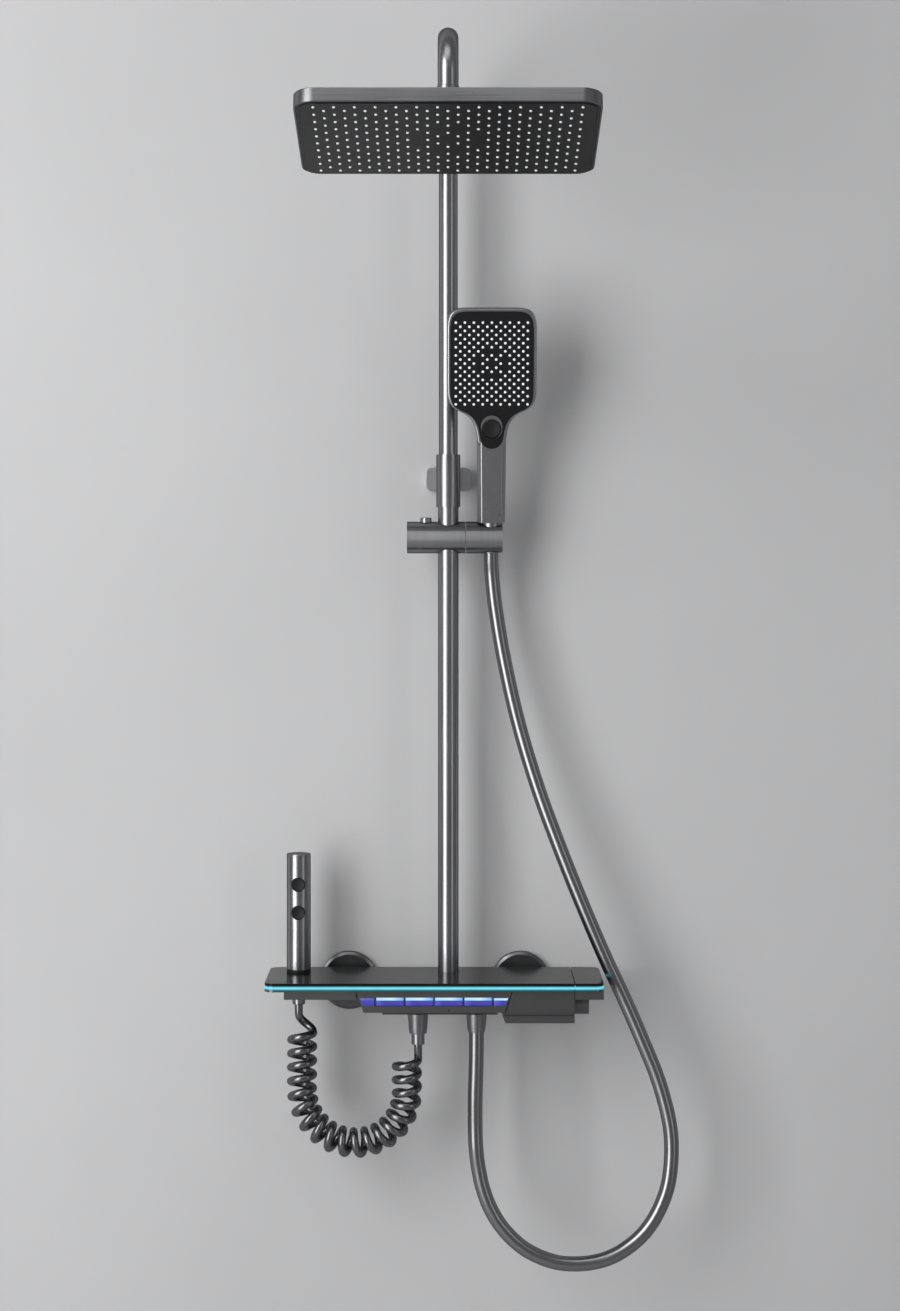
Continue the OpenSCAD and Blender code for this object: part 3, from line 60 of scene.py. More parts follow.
photo_camera.name = "photo_camera"
photo_camera.data.lens = 73.31
photo_camera.data.shift_y = -0.0805
photo_camera.data.sensor_width = 36
photo_camera.data.clip_end = 60
bpy.context.scene.camera = photo_camera


# The handset's hose: a smooth sheath of dark metallic plastic, 17 mm thick. It comes out of
# the cone nut under the handset, hangs past the end of the shelf in one open loop and goes up
# into the nut under the mixer.
def only(piece):
    """Deselects everything else, because an operator acts on all that is selected."""
    bpy.ops.object.select_all(action="DESELECT")
    piece.select_set(True)
    bpy.context.view_layer.objects.active = piece


def smooth_route(points, steps):
    """Points on a rounded line through the given ones."""
    ends = [points[0]] + points + [points[-1]]
    found = []
    for i in range(1, len(ends) - 2):
        a, b, c, d = (Vector(p) for p in ends[i - 1:i + 3])
        for k in range(steps):
            t = k / steps
            found.append(0.5 * (2 * b + (c - a) * t + (2 * a - 5 * b + 4 * c - d) * t * t
                                + (3 * b - a - 3 * c + d) * t ** 3))
    return found + [Vector(points[-1])]


def hose_along(name, line, thickness, sides):
    """A round tube laid along a line of points, turned into a mesh with its ends shut."""
    curve = bpy.data.curves.new(name, "CURVE")
    curve.dimensions = "3D"
    curve.bevel_depth = thickness / 2
    curve.bevel_resolution = sides // 4
    curve.use_fill_caps = True
    spline = curve.splines.new("POLY")
    spline.points.add(len(line) - 1)
    for place, point in zip(line, spline.points):
        point.co = (*place, 1)
    tube = bpy.data.objects.new(name, curve)
    bpy.context.collection.objects.link(tube)
    only(tube)
    bpy.ops.object.convert(target="MESH")
    bpy.ops.object.shade_smooth_by_angle(angle=math.radians(40))
    return bpy.context.object


def node(tree, kind, **settings):
    """Adds a shader node; a socket given for an input is linked and anything else is its value."""
    made = tree.nodes.new(kind)
    for key, value in settings.items():
        if key.startswith("in_"):
            place = key[3:]
            socket = made.inputs[int(place) if place.isdigit() else place.replace("_", " ")]
            if isinstance(value, bpy.types.NodeSocket):
                tree.links.new(value, socket)
            else:
                socket.default_value = value
        else:
            setattr(made, key, value)
    return made


def worked(tree, operation, *values):
    """Works a value out from others."""
    given = {"in_" + str(i): value for i, value in enumerate(values)}
    return node(tree, "ShaderNodeMath", operation=operation, **given).outputs[0]


def spread(tree, value, low, high, least=0.0, most=1.0):
    """Spreads the values from low to high over those from least to most."""
    return node(tree, "ShaderNodeMapRange", in_Value=value, in_1=low, in_2=high, in_3=least,
                in_4=most).outputs[0]


def shades(tree, value, stops):
    """Turns a value into colours that blend from one stop, a share and its colour, to the next."""
    ramp = node(tree, "ShaderNodeValToRGB", in_Fac=value)
    points = ramp.color_ramp.elements
    points[0].position, points[0].color = stops[0]
    points[1].position, points[1].color = stops[-1]
    for share, colour in stops[1:-1]:
        points.new(share).color = colour
    return ramp.outputs["Color"]


def unpainted(name):
    """A new material, the tree of its nodes and its shader."""
    made = bpy.data.materials.new(name)
    made.use_nodes = True
    return made, made.node_tree, made.node_tree.nodes["Principled BSDF"]


def finish(name, colour, metal=0.0, rough=0.4, grain=(900, 900, 900), light=0.1, vary=0.05,
           relief=0.0, coat=0.0, edge=None, gloss=None, lathe=None):
    """A surface whose shade and gloss follow a fine grain, drawn out one way, and a slow blotch.
    One turned on a lathe has grooves round an axis, which draw its highlights out along it."""
    made, tree, shader = unpainted(name)
    shader.inputs["Metallic"].default_value = metal
    shader.inputs["Coat Weight"].default_value = coat
    shader.inputs["Coat Roughness"].default_value = 0.08
    if edge is not None:
        shader.inputs["Specular Tint"].default_value = (edge, edge, edge * 1.02, 1)
    if gloss is not None:
        shader.inputs["Specular IOR Level"].default_value = gloss
    if lathe is not None:
        shader.inputs["Anisotropic"].default_value = 0.85
        shader.inputs["Anisotropic Rotation"].default_value = 0.25
        around = node(tree, "ShaderNodeTangent", direction_type="RADIAL", axis=lathe)
        tree.links.new(around.outputs[0], shader.inputs["Tangent"])
    place = node(tree, "ShaderNodeTexCoord").outputs["Object"]
    stretched = node(tree, "ShaderNodeMapping", in_Vector=place, in_Scale=grain).outputs[0]
    fine = node(tree, "ShaderNodeTexNoise", in_Vector=stretched, in_Scale=1.0, in_Detail=3.0).outputs[0]
    slow = node(tree, "ShaderNodeTexNoise", in_Vector=place, in_Scale=12.0, in_Detail=2.0).outputs[0]
    both = worked(tree, "MULTIPLY_ADD", slow, 0.5, fine)
    darker = tuple(c * (1 - light) for c in colour) + (1,)
    lighter = tuple(min(1, c * (1 + light)) for c in colour) + (1,)
    tree.links.new(shades(tree, both, [(0.5, darker), (1.0, lighter)]), shader.inputs["Base Color"])
    dull = spread(tree, both, 0.5, 1.0, max(0.02, rough - vary), min(1, rough + vary))
    tree.links.new(dull, shader.inputs["Roughness"])
    if relief:
        bump = node(tree, "ShaderNodeBump", in_Height=fine, in_Strength=relief, in_Distance=0.0001)
        tree.links.new(bump.outputs[0], shader.inputs["Normal"])
    return made


hose_points = [(0.066, -0.0625, 0.5275), (0.066, -0.0576, 0.4992),
               (0.067, -0.054, 0.480), (0.070, -0.053, 0.450), (0.077, -0.054, 0.404),
               (0.086, -0.056, 0.358), (0.097, -0.059, 0.311), (0.110, -0.063, 0.265),
               (0.125, -0.067, 0.219), (0.142, -0.071, 0.173), (0.160, -0.075, 0.127),
               (0.179, -0.079, 0.081), (0.199, -0.082, 0.035), (0.220, -0.085, -0.010),
               (0.240, -0.089, -0.056), (0.258, -0.093, -0.101), (0.270, -0.097, -0.146),
               (0.273, -0.099, -0.180), (0.270, -0.101, -0.214), (0.263, -0.102, -0.238),
               (0.252, -0.103, -0.260), (0.238, -0.104, -0.278), (0.221, -0.105, -0.292),
               (0.203, -0.106, -0.302), (0.183, -0.106, -0.308), (0.161, -0.106, -0.310),
               (0.140, -0.106, -0.308), (0.121, -0.105, -0.302), (0.104, -0.105, -0.293),
               (0.089, -0.104, -0.281), (0.075, -0.103, -0.265), (0.064, -0.103, -0.246),
               (0.056, -0.102, -0.225), (0.051, -0.101, -0.203), (0.048, -0.101, -0.180),
               (0.047, -0.100, -0.155), (0.047, -0.100, -0.120), (0.048, -0.100, -0.085),
               (0.0484, -0.100, -0.0522), (0.0484, -0.100, -0.0376)]
hose_line = smooth_route(hose_points, 5)
handset_hose = hose_along("handset_hose", hose_line, 0.017, 32)
handset_hose.data.materials.append(finish(
    "hose_sheath", (0.26, 0.26, 0.265), metal=1.0, rough=0.28, light=0.03, vary=0.006, edge=0.3))
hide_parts("shower_hose")
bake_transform(handset_hose)

# The wand's hose: a springy coil of dark, shining plastic tube, 9.5 mm thick. Its curls run
# straight down beside the wand's nut, round a hanging half circle and up again, and the last one
# ends right under the nut of the mixer.
coil_tube, curl_radius, curl_count, bend_radius = 0.0095, 0.0129, 18.5, 0.061
wand_x, wand_y = -0.158, -0.065
coil_top = Vector((wand_x, wand_y, -0.01312))
coil_foot = Vector((-0.0188, -0.100, -0.0521))
down_leg, bend_length = 1.66 * bend_radius, math.pi * bend_radius
coil_reach = down_leg + bend_length + coil_foot.z - coil_top.z + down_leg
coil_lead, coil_tail = 4 * coil_tube, 2.6 * coil_tube


def coil_axis(s):
    """The line that the curls wind round, at a distance from its upper end."""
    y = coil_top.y + s * (coil_foot.y - coil_top.y) / coil_reach
    x = coil_foot.x - curl_radius - 2 * bend_radius
    if s < down_leg:
        return Vector((x, y, coil_top.z - s))
    if s < down_leg + bend_length:
        a = (s - down_leg) / bend_radius
        return Vector((x + bend_radius * (1 - math.cos(a)), y,
                       coil_top.z - down_leg - bend_radius * math.sin(a)))
    return Vector((x + 2 * bend_radius, y, coil_foot.z - coil_reach + s))


def coil_point(s, turn):
    """A place on the tube's own line, some way round the axis."""
    ahead, behind = coil_axis(min(s + coil_tube / 4, coil_reach)), coil_axis(max(s - coil_tube / 4, 0))
    along = (ahead - behind).normalized()
    side = along.cross(Vector((0, 1, 0))).normalized()
    return coil_axis(s) + curl_radius * (math.cos(turn) * side - math.sin(turn) * side.cross(along))


coil_points = [coil_top]
lead_steps, curl_steps = 6, 12
for i in range(lead_steps):
    share = i / lead_steps
    out = (1 - math.cos(math.pi * share)) / 2
    s = coil_lead - 0.6 * coil_lead * (1 - share)
    coil_points.append((1 - out) * Vector((coil_top.x, coil_top.y, coil_top.z - s))
                       + out * coil_point(s, -math.pi / 2 * (1 - share)))
coil_steps = int(curl_count * curl_steps)
for i in range(coil_steps + 1):
    coil_points.append(coil_point(coil_lead + (coil_reach - coil_lead - coil_tail) * i / coil_steps,
                                  math.tau * curl_count * i / coil_steps))
coil_points += [coil_foot - Vector((0, 0, coil_tail / 2)), coil_foot]
coil_line = smooth_route(coil_points, 3)
wand_hose = hose_along("wand_hose", coil_line, coil_tube, 16)
wand_hose.data.materials.append(finish(
    "coil_tube", (0.17, 0.17, 0.175), metal=0.95, rough=0.27, grain=(300, 300, 300), light=0.04,
    vary=0.03, coat=0.15, edge=0.4))
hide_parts("coil_hose")
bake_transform(wand_hose)


# The wall unions: two brass connectors, screwed into the supply pipes behind the tiles, each with
# a pressed fibre washer between it and the mixer. They show from behind only.
def dress(names, paint):
    """Gives its surface to each built piece that keeps its own shape."""
    for name in names.split():
        frame["nodes"][name].data.materials.clear()
        frame["nodes"][name].data.materials.append(paint)


cast_brass = finish("cast_brass", (0.62, 0.45, 0.20), metal=1.0, rough=0.42, grain=(700, 700, 700),
                    relief=0.3)
dress("wall_unions", cast_brass)
dress("inlet_washers", finish("pressed_fibre", (0.28, 0.08, 0.05), rough=0.8, light=0.25))


# The wall flanges: two spun steel cups with a turned, bevelled rim, pushed over the unions until
# they lie on the tiles, in a gunmetal that is darker than the riser's.
def turned(name, outline, foot=(0, 0, 0), lean=(0, 0, 0), sides=48, sharp=25):
    """Draws half an outline of (radius, height) pairs point by point and spins it into a turned piece."""
    bpy.ops.object.select_all(action="DESELECT")
    bpy.ops.mesh.primitive_plane_add(size=0.001, location=(0, 0, 0))
    piece = bpy.context.object
    piece.name = piece.data.name = name
    bpy.context.tool_settings.mesh_select_mode = (True, False, False)
    bpy.ops.object.mode_set(mode="EDIT")
    bpy.ops.mesh.select_all(action="SELECT")
    bpy.ops.mesh.merge(type="CENTER")
    bpy.ops.transform.translate(value=(outline[0][0], 0, outline[0][1]))
    for (r0, h0), (r1, h1) in zip(outline, outline[1:]):
        bpy.ops.mesh.extrude_region_move(TRANSFORM_OT_translate={"value": (r1 - r0, 0, h1 - h0)})
    bpy.ops.mesh.select_all(action="SELECT")
    bpy.ops.mesh.spin(steps=sides, angle=math.tau, center=(0, 0, 0), axis=(0, 0, 1), use_auto_merge=True)
    bpy.ops.mesh.select_all(action="SELECT")
    bpy.ops.mesh.remove_doubles(threshold=0.00001)
    bpy.ops.mesh.normals_make_consistent(inside=False)
    bpy.ops.object.mode_set(mode="OBJECT")
    piece.location, piece.rotation_euler = foot, lean
    bpy.ops.object.transform_apply(location=True, rotation=True, scale=True)
    bpy.ops.object.shade_smooth_by_angle(angle=math.radians(sharp))
    return piece


def joined(name, pieces):
    """Joins finished pieces into one."""
    bpy.ops.object.select_all(action="DESELECT")
    for piece in pieces:
        piece.select_set(True)
    bpy.context.view_layer.objects.active = pieces[0]
    bpy.ops.object.join()
    whole = bpy.context.object
    whole.name = whole.data.name = name
    return whole


def copied(pattern, places):
    """Copies a piece modelled at the origin to each place, with a mesh of its own, and drops the pattern."""
    made = []
    for place in places:
        copy = pattern.copy()
        copy.data = pattern.data.copy()
        bpy.context.collection.objects.link(copy)
        copy.data.transform(Matrix.Translation(place))
        made.append(copy)
    bpy.data.objects.remove(pattern)
    return made


def fit(piece, body, paint, record_slot, *nodes):
    """Gives a finished piece its surface, the body it moves with and the built pieces it stands for."""
    piece.data.materials.clear()
    piece.data.materials.append(paint)
    if nodes:
        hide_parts(*nodes)
    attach(piece, body)


facing_front = (math.radians(90), 0, 0)
gunmetal_round = finish("gunmetal_turned", (0.27, 0.27, 0.28), metal=1.0, rough=0.32, grain=(1500, 60, 1500),
                        light=0.08, relief=0.06, edge=0.35)
rim_radius = 0.0340
union_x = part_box("wall_flanges")[1].x - rim_radius
flange = turned("flange", [(0.0133, 0.0088), (0.0133, 0.0100), (0.0308, 0.0100), (0.0310, 0.0099),
                           (0.0338, 0.0084), (rim_radius, 0.0080), (rim_radius, 0.0), (0.0328, 0.0),
                           (0.0328, 0.0064), (0.0304, 0.0088), (0.0133, 0.0088)],
                lean=facing_front, sides=96, sharp=20)
gunmetal_dark = finish("gunmetal_dark", (0.17, 0.17, 0.175), metal=1.0, rough=0.30, grain=(1500, 60, 1500),
                       light=0.08, relief=0.06, edge=0.5)
fit(joined("wall_covers", copied(flange, [(-union_x, 0, 0), (union_x, 0, 0)])), "column",
    gunmetal_dark, "gunmetal", "wall_flanges")


# The union nuts: two forged brass hexagons with chamfered corners, coated in gunmetal, that
# draw the mixer's tails against the unions. The same way of easing edges serves every machined
# piece further on: the built shape is copied, its flats made whole and its sharp edges rounded.
def smoothed(piece, sharp):
    """Shades a piece smoothly up to an angle, with its large flats kept flat."""
    only(piece)
    bpy.ops.object.shade_smooth_by_angle(angle=math.radians(sharp))
    bpy.ops.object.modifier_add(type="WEIGHTED_NORMAL")
    piece.modifiers[-1].keep_sharp = True
    bpy.ops.object.modifier_apply(modifier=piece.modifiers[-1].name)
    return piece


def eased(name, source, width, segments=2):
    """Copies a built piece, joins its triangles into flats and takes the sharpness off its edges."""
    sharp = 30
    copy = bpy.data.objects.new(name, frame["nodes"][source].data.copy())
    copy.data.name = name
    bpy.context.collection.objects.link(copy)
    only(copy)
    bpy.ops.object.mode_set(mode="EDIT")
    bpy.ops.mesh.select_all(action="SELECT")
    bpy.ops.mesh.remove_doubles(threshold=0.00002)
    bpy.ops.mesh.dissolve_limited(angle_limit=math.radians(1.5))
    bpy.ops.object.mode_set(mode="OBJECT")
    bpy.ops.object.modifier_add(type="BEVEL")
    easing = copy.modifiers[-1]
    easing.width, easing.segments, easing.limit_method = width, segments, "ANGLE"
    easing.angle_limit = math.radians(sharp)
    bpy.ops.object.modifier_apply(modifier=easing.name)
    return smoothed(copy, sharp)


gunmetal = finish("gunmetal_satin", (0.27, 0.27, 0.28), metal=1.0, rough=0.30, grain=(1200, 1200, 40),
                  light=0.07, relief=0.05, edge=0.35)
fit(eased("hexagon_nuts", "union_nuts", 0.0008), "column", gunmetal, "gunmetal", "union_nuts")

# The mixer: one brass casting of two inlets, a cross bar and a manifold, with the turbine, the
# four diverter cartridges and the thermostat screwed in. The shelf and the panels hide it.
dark_casting = finish("dark_casting", (0.10, 0.095, 0.085), metal=0.9, rough=0.5, grain=(500, 500, 500),
                      light=0.2, relief=0.5)
black_moulding = finish("black_moulding", (0.018, 0.018, 0.019), rough=0.42, light=0.2)
dress("mixer_body", dark_casting)
dress("diverter_cartridges thermostat_cartridge", cast_brass)
dress("turbine_unit", black_moulding)

# The lower riser: a drawn stainless tube, 24 mm across, brushed along its length and coated in
# gunmetal. It stands in the mixer's boss and ends inside the locking sleeve.
brushed_upright = finish("gunmetal_brushed_upright", (0.30, 0.30, 0.31), metal=1.0, rough=0.29,
                         grain=(1400, 1400, 8), relief=0.08, edge=0.3)
dress("lower_riser", brushed_upright)

# The tray: folded steel under the shelf, which carries the glass and closes the mixer in, held by
# two screws, in a satin powder coat that is a shade darker than the tubes.
dark_coat = finish("dark_powder_coat", (0.135, 0.135, 0.138), metal=0.8, rough=0.34,
                   grain=(1800, 1800, 1800), relief=0.15, edge=0.5)
plain_steel = finish("plain_steel", (0.50, 0.51, 0.53), metal=1.0, rough=0.32)
fit(eased("folded_tray", "under_tray", 0.0005), "column", dark_coat, "dark_metal", "under_tray")
dress("tray_screws", plain_steel)

# The shelf: a plate of black toughened glass on a clear acrylic plate, which a strip of lamps
# under it lights along its front and both ends.
black_glass = finish("black_glass", (0.012, 0.0125, 0.013), rough=0.16, grain=(25, 700, 700), light=0.35,
                     gloss=0.08)
lit_edge, tree, acrylic = unpainted("lit_acrylic")
acrylic.inputs["Base Color"].default_value = (0.02, 0.06, 0.07, 1)
acrylic.inputs["Roughness"].default_value = 0.3
place = node(tree, "ShaderNodeTexCoord").outputs["Object"]
apart = node(tree, "ShaderNodeSeparateXYZ", in_0=place)
acrylic_low, acrylic_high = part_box("shelf_light_guide")
height = spread(tree, apart.outputs[2], acrylic_low.z, acrylic_high.z)
flow = node(tree, "ShaderNodeTexNoise", in_0=place, in_Scale=60.0, in_Detail=1.0).outputs[0]
band = shades(tree, height, [
    (0.0, (0.012, 0.16, 0.24, 1)), (0.22, (0.035, 0.45, 0.62, 1)), (0.42, (0.22, 0.76, 0.88, 1)),
    (0.58, (0.22, 0.76, 0.88, 1)), (0.80, (0.04, 0.48, 0.66, 1)), (1.0, (0.015, 0.20, 0.30, 1))])
front_edge_y, end_edge_x = -0.1405, 0.1921
at_front = worked(tree, "LESS_THAN", apart.outputs[1], front_edge_y)
at_end = worked(tree, "GREATER_THAN", worked(tree, "ABSOLUTE", apart.outputs[0]), end_edge_x)
lit = worked(tree, "MAXIMUM", at_front, at_end)
strength = spread(tree, flow, 0.3, 0.7, 0.9, 1.0)
tree.links.new(band, acrylic.inputs["Emission Color"])
tree.links.new(worked(tree, "MULTIPLY", lit, strength), acrylic.inputs["Emission Strength"])
fit(eased("shelf_pane", "shelf_glass", 0.0005), "column", black_glass, "black_glass", "shelf_glass")
fit(eased("shelf_acrylic", "shelf_light_guide", 0.0003), "column", lit_edge, "light_guide",
    "shelf_light_guide")
dress("led_board", finish("circuit_board", (0.02, 0.16, 0.05), rough=0.35, grain=(300, 900, 300), light=0.3))

# The temperature handle: the shelf's right end, in the same glass, acrylic and folded steel, on a
# round hub that turns the thermostat.
fit(eased("handle_pane", "handle_glass", 0.0005), "temperature_handle", black_glass, "black_glass",
    "handle_glass")
fit(eased("handle_acrylic", "handle_light_guide", 0.0003), "temperature_handle", lit_edge, "light_guide",
    "handle_light_guide")
fit(eased("handle_tray", "temperature_handle", 0.0005), "temperature_handle", dark_coat, "dark_metal",
    "temperature_handle")

# The key panel: a bezel of coated zinc that leans in at both ends, with a small drain slot in its
# lower lip.
fit(eased("panel_bezel", "key_bezel", 0.0009, 3), "column", dark_coat, "dark_metal", "key_bezel")


def block(name, low, high):
    """A cube drawn out to fill the space between two corners."""
    low, high = Vector(low), Vector(high)
    bpy.ops.object.select_all(action="DESELECT")
    bpy.ops.mesh.primitive_cube_add(size=1, location=(low + high) / 2, scale=high - low)
    piece = bpy.context.object
    piece.name = piece.data.name = name
    bpy.ops.object.transform_apply(location=True, rotation=True, scale=True)
    return piece


def pick(kind, test):
    """In edit mode, selects only the edges or faces that pass a test of their middle and direction."""
    mesh = bmesh.from_edit_mesh(bpy.context.edit_object.data)
    bpy.context.tool_settings.mesh_select_mode = (False, kind == "EDGE", kind == "FACE")
    for group in (mesh.faces, mesh.edges, mesh.verts):
        for each in group:
            each.select = False
    if kind == "EDGE":
        for line in mesh.edges:
            a, b = line.verts[0].co, line.verts[1].co
            line.select_set(test((a + b) / 2, (b - a).normalized()))
    if kind == "FACE":
        for flat in mesh.faces:
            flat.select_set(test(flat.calc_center_median(), flat.normal))
    bmesh.update_edit_mesh(bpy.context.edit_object.data)


def rounded(piece, radius, segments, test):
    """Rounds the edges that pass the test."""
    only(piece)
    bpy.ops.object.mode_set(mode="EDIT")
    pick("EDGE", test)
    bpy.ops.mesh.bevel(offset=radius, offset_type="OFFSET", segments=segments, profile=0.5, affect="EDGES")
    bpy.ops.object.mode_set(mode="OBJECT")
    return piece


drain = rounded(block("drain_slot", (0.0162, -0.1503, -0.0126), (0.0176, -0.1488, -0.0098)), 0.0003, 2,
                lambda middle, way: abs(way.y) > 0.9)
fit(drain, "column", black_moulding, "black_plastic")


# The four keys and the two end pieces: clear blue acrylic, lit from inside, with a bevelled upper
# edge that shines nearly white. Each key slides in and pushes the stem of its diverter.
def drawn(name, outline, near, far):
    """Draws an outline of (x, z) pairs point by point, fills it and draws it out from near to far."""
    bpy.ops.object.select_all(action="DESELECT")
    bpy.ops.mesh.primitive_plane_add(size=0.001, location=(0, 0, 0))
    piece = bpy.context.object
    piece.name = piece.data.name = name
    bpy.context.tool_settings.mesh_select_mode = (True, False, False)
    bpy.ops.object.mode_set(mode="EDIT")
    bpy.ops.mesh.select_all(action="SELECT")
    bpy.ops.mesh.merge(type="CENTER")
    bpy.ops.transform.translate(value=(outline[0][0], near, outline[0][1]))
    for (x0, z0), (x1, z1) in zip(outline, outline[1:] + outline[:1]):
        bpy.ops.mesh.extrude_region_move(TRANSFORM_OT_translate={"value": (x1 - x0, 0, z1 - z0)})
    bpy.ops.mesh.select_all(action="SELECT")
    bpy.ops.mesh.remove_doubles(threshold=0.00001)
    bpy.ops.mesh.edge_face_add()
    bpy.ops.mesh.extrude_region_move(TRANSFORM_OT_translate={"value": (0, far - near, 0)})
    bpy.ops.mesh.select_all(action="SELECT")
    bpy.ops.mesh.normals_make_consistent(inside=False)
    bpy.ops.object.mode_set(mode="OBJECT")
    return piece


key_light, tree, acrylic = unpainted("lit_blue_acrylic")
acrylic.inputs["Base Color"].default_value = (0.02, 0.02, 0.05, 1)
acrylic.inputs["Roughness"].default_value = 0.22
place = node(tree, "ShaderNodeTexCoord").outputs["Object"]
apart = node(tree, "ShaderNodeSeparateXYZ", in_0=place)
keys_per_metre, whole_keys = 30.03, 10.0
across_key = worked(tree, "FRACT", worked(tree, "MULTIPLY_ADD", apart.outputs[0], keys_per_metre, whole_keys))
face_joint, strip_joint = (0.006, 0.006, 0.05, 1), (0.01, 0.02, 0.08, 1)
face_glow = shades(tree, across_key, [
    (0.0, face_joint), (0.025, face_joint), (0.055, (0.10, 0.10, 0.62, 1)), (0.3, (0.045, 0.042, 0.36, 1)),
    (0.945, (0.055, 0.05, 0.42, 1)), (0.975, face_joint), (1.0, face_joint)])
strip_glow = shades(tree, across_key, [
    (0.0, strip_joint), (0.02, strip_joint), (0.05, (0.45, 0.75, 1.0, 1)), (0.55, (0.60, 0.86, 1.0, 1)),
    (0.85, (0.28, 0.55, 0.95, 1)), (0.95, (0.20, 0.42, 0.88, 1)), (0.98, strip_joint), (1.0, strip_joint)])
high = spread(tree, apart.outputs[2], -0.0001, 0.0005)
not_left_end = spread(tree, apart.outputs[0], -0.0672, -0.0664, 0.12, 1.0)
glow = node(tree, "ShaderNodeMix", data_type="RGBA", in_0=worked(tree, "MULTIPLY", high, not_left_end),
            in_6=face_glow, in_7=strip_glow).outputs[2]
fading = spread(tree, apart.outputs[2], -0.0060, -0.0030, 0.7, 1.0)
key_face_y = -0.1445
at_face = worked(tree, "LESS_THAN", apart.outputs[1], key_face_y)
tree.links.new(glow, acrylic.inputs["Emission Color"])
tree.links.new(worked(tree, "MULTIPLY", fading, at_face), acrylic.inputs["Emission Strength"])
key_back, bevel, stem_radius, stem_length = 0.1443, 0.0024, 0.003, 0.0304
for name in ("overhead_key", "handset_key", "wand_key", "spout_key"):
    low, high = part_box(name)
    outline = [(key_back, low.z), (-low.y, low.z), (-low.y, high.z - bevel), (-low.y - bevel, high.z),
               (key_back, high.z)]
    key = drawn(name + "_cap", outline, low.x, high.x)
    key.data.transform(Matrix.Rotation(math.radians(-90), 4, "Z"))
    stem = turned("stem", [(0, 0), (stem_radius, 0), (stem_radius, stem_length), (0, stem_length)],
                  ((low.x + high.x) / 2, high.y, (low.z + high.z) / 2), facing_front, sides=24, sharp=30)
    rounded(key, 0.0003, 2, lambda middle, way: middle.y < -key_back - bevel / 2)
    fit(joined(name + "_cap", [key, stem]), name, key_light, "key_light", name)
for side in (-1, 1):
    outline = [(0.0672, high.z), (0.0838, high.z), (0.0811, low.z), (0.0672, low.z)]
    end_piece = drawn("key_end_left" if side < 0 else "key_end_right", [(side * x, z) for x, z in outline],
                      -0.1507, -0.1480)
    rounded(end_piece, 0.0003, 2, lambda middle, way: middle.y < -0.1506)
    fit(end_piece, "column", key_light, "key_light")

# The spout: a coated zinc block beside the keys, with a raised lip along its lower front edge and
# a moulded insert underneath that spreads the water into a flat stream.
fit(eased("spout_housing", "spout_block", 0.0006), "column", dark_coat, "dark_metal", "spout_block")
dress("spout_insert", black_moulding)

# The outlet nuts: two turned brass cones under the mixer, one for each hose. The coil's has a
# slim ferrule below it.
hose_nut = turned("hose_nut", [(0.0087, 0.0), (0.0099, 0.0), (0.01008, 0.0004), (0.01008, 0.0030),
                               (0.0104, 0.0034), (0.0117, 0.0196), (0.0120, 0.0200), (0.0120, 0.0205),
                               (0.0104, 0.0205), (0.0104, 0.0102), (0.0087, 0.0100), (0.0087, 0.0)],
                  (*hose_points[-1][:2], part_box("mixer_hose_nut")[0].z))
fit(hose_nut, "column", gunmetal_round, "gunmetal", "mixer_hose_nut")
coil_cone = turned("coil_cone", [(0.0049, 0.0), (0.0099, 0.0), (0.01008, 0.0004), (0.01008, 0.0032),
                                 (0.0104, 0.0036), (0.0117, 0.0216), (0.0120, 0.0220), (0.0120, 0.0225),
                                 (0.0104, 0.0225), (0.0104, 0.0122), (0.0049, 0.0120), (0.0049, 0.0)],
                   (*coil_foot[:2], -0.0457))
ferrule = turned("ferrule", [(0.0049, 0.0), (0.0071, 0.0), (0.0075, 0.0004), (0.0075, 0.0121),
                             (0.0071, 0.0127), (0.0049, 0.0127), (0.0049, 0.0)],
                 (*coil_foot[:2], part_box("coil_nut")[0].z))
fit(joined("coil_hose_nut", [coil_cone, ferrule]), "column", gunmetal_round, "gunmetal", "coil_nut")

# The wall bracket: a zinc block with rounded corners, which hides a steel plate screwed to
# the wall, and the round arm that carries the sleeve. Its gunmetal is painted much lighter than elsewhere:
# painted light, for the light that the block catches.
bracket_painted_light = finish("plated_zinc", (0.60, 0.60, 0.61), metal=1.0, rough=0.30, grain=(600, 600, 600),
                light=0.03, vary=0.02, edge=0.5)
fit(eased("wall_bracket", "bracket_block", 0.0012, 3), "column", bracket_painted_light, "gunmetal", "bracket_block")
dress("bracket_plate grub_screws", plain_steel)

# The locking sleeve: a turned brass collar over the joint between the two tubes, with a hidden
# plastic collet that grips the upper tube.
fit(eased("riser_collar", "lock_sleeve", 0.0006), "column", gunmetal, "gunmetal", "lock_sleeve")
white_acetal = finish("white_acetal", (0.78, 0.77, 0.73), rough=0.4, grain=(700, 700, 700), light=0.04)
dress("riser_collet", white_acetal)

# The upper riser: a thinner tube that slides in the lower one on a plastic bush with two rubber
# rings, and bends forward over the user to carry the head.
dress("upper_riser", brushed_upright)
dress("guide_bush", white_acetal)
dress("guide_rings", black_moulding)


# The ball joint: a turned brass ball on a short neck in a flared collar under the riser's end. It
# sits in a plastic cup, held by a ring nut on the back of the head, which leans round its middle.
def pivot(name):
    """The point that a hinge turns about."""
    return next(joint["pos_m"] for joint in frame["joints"] if joint["name"] == name)


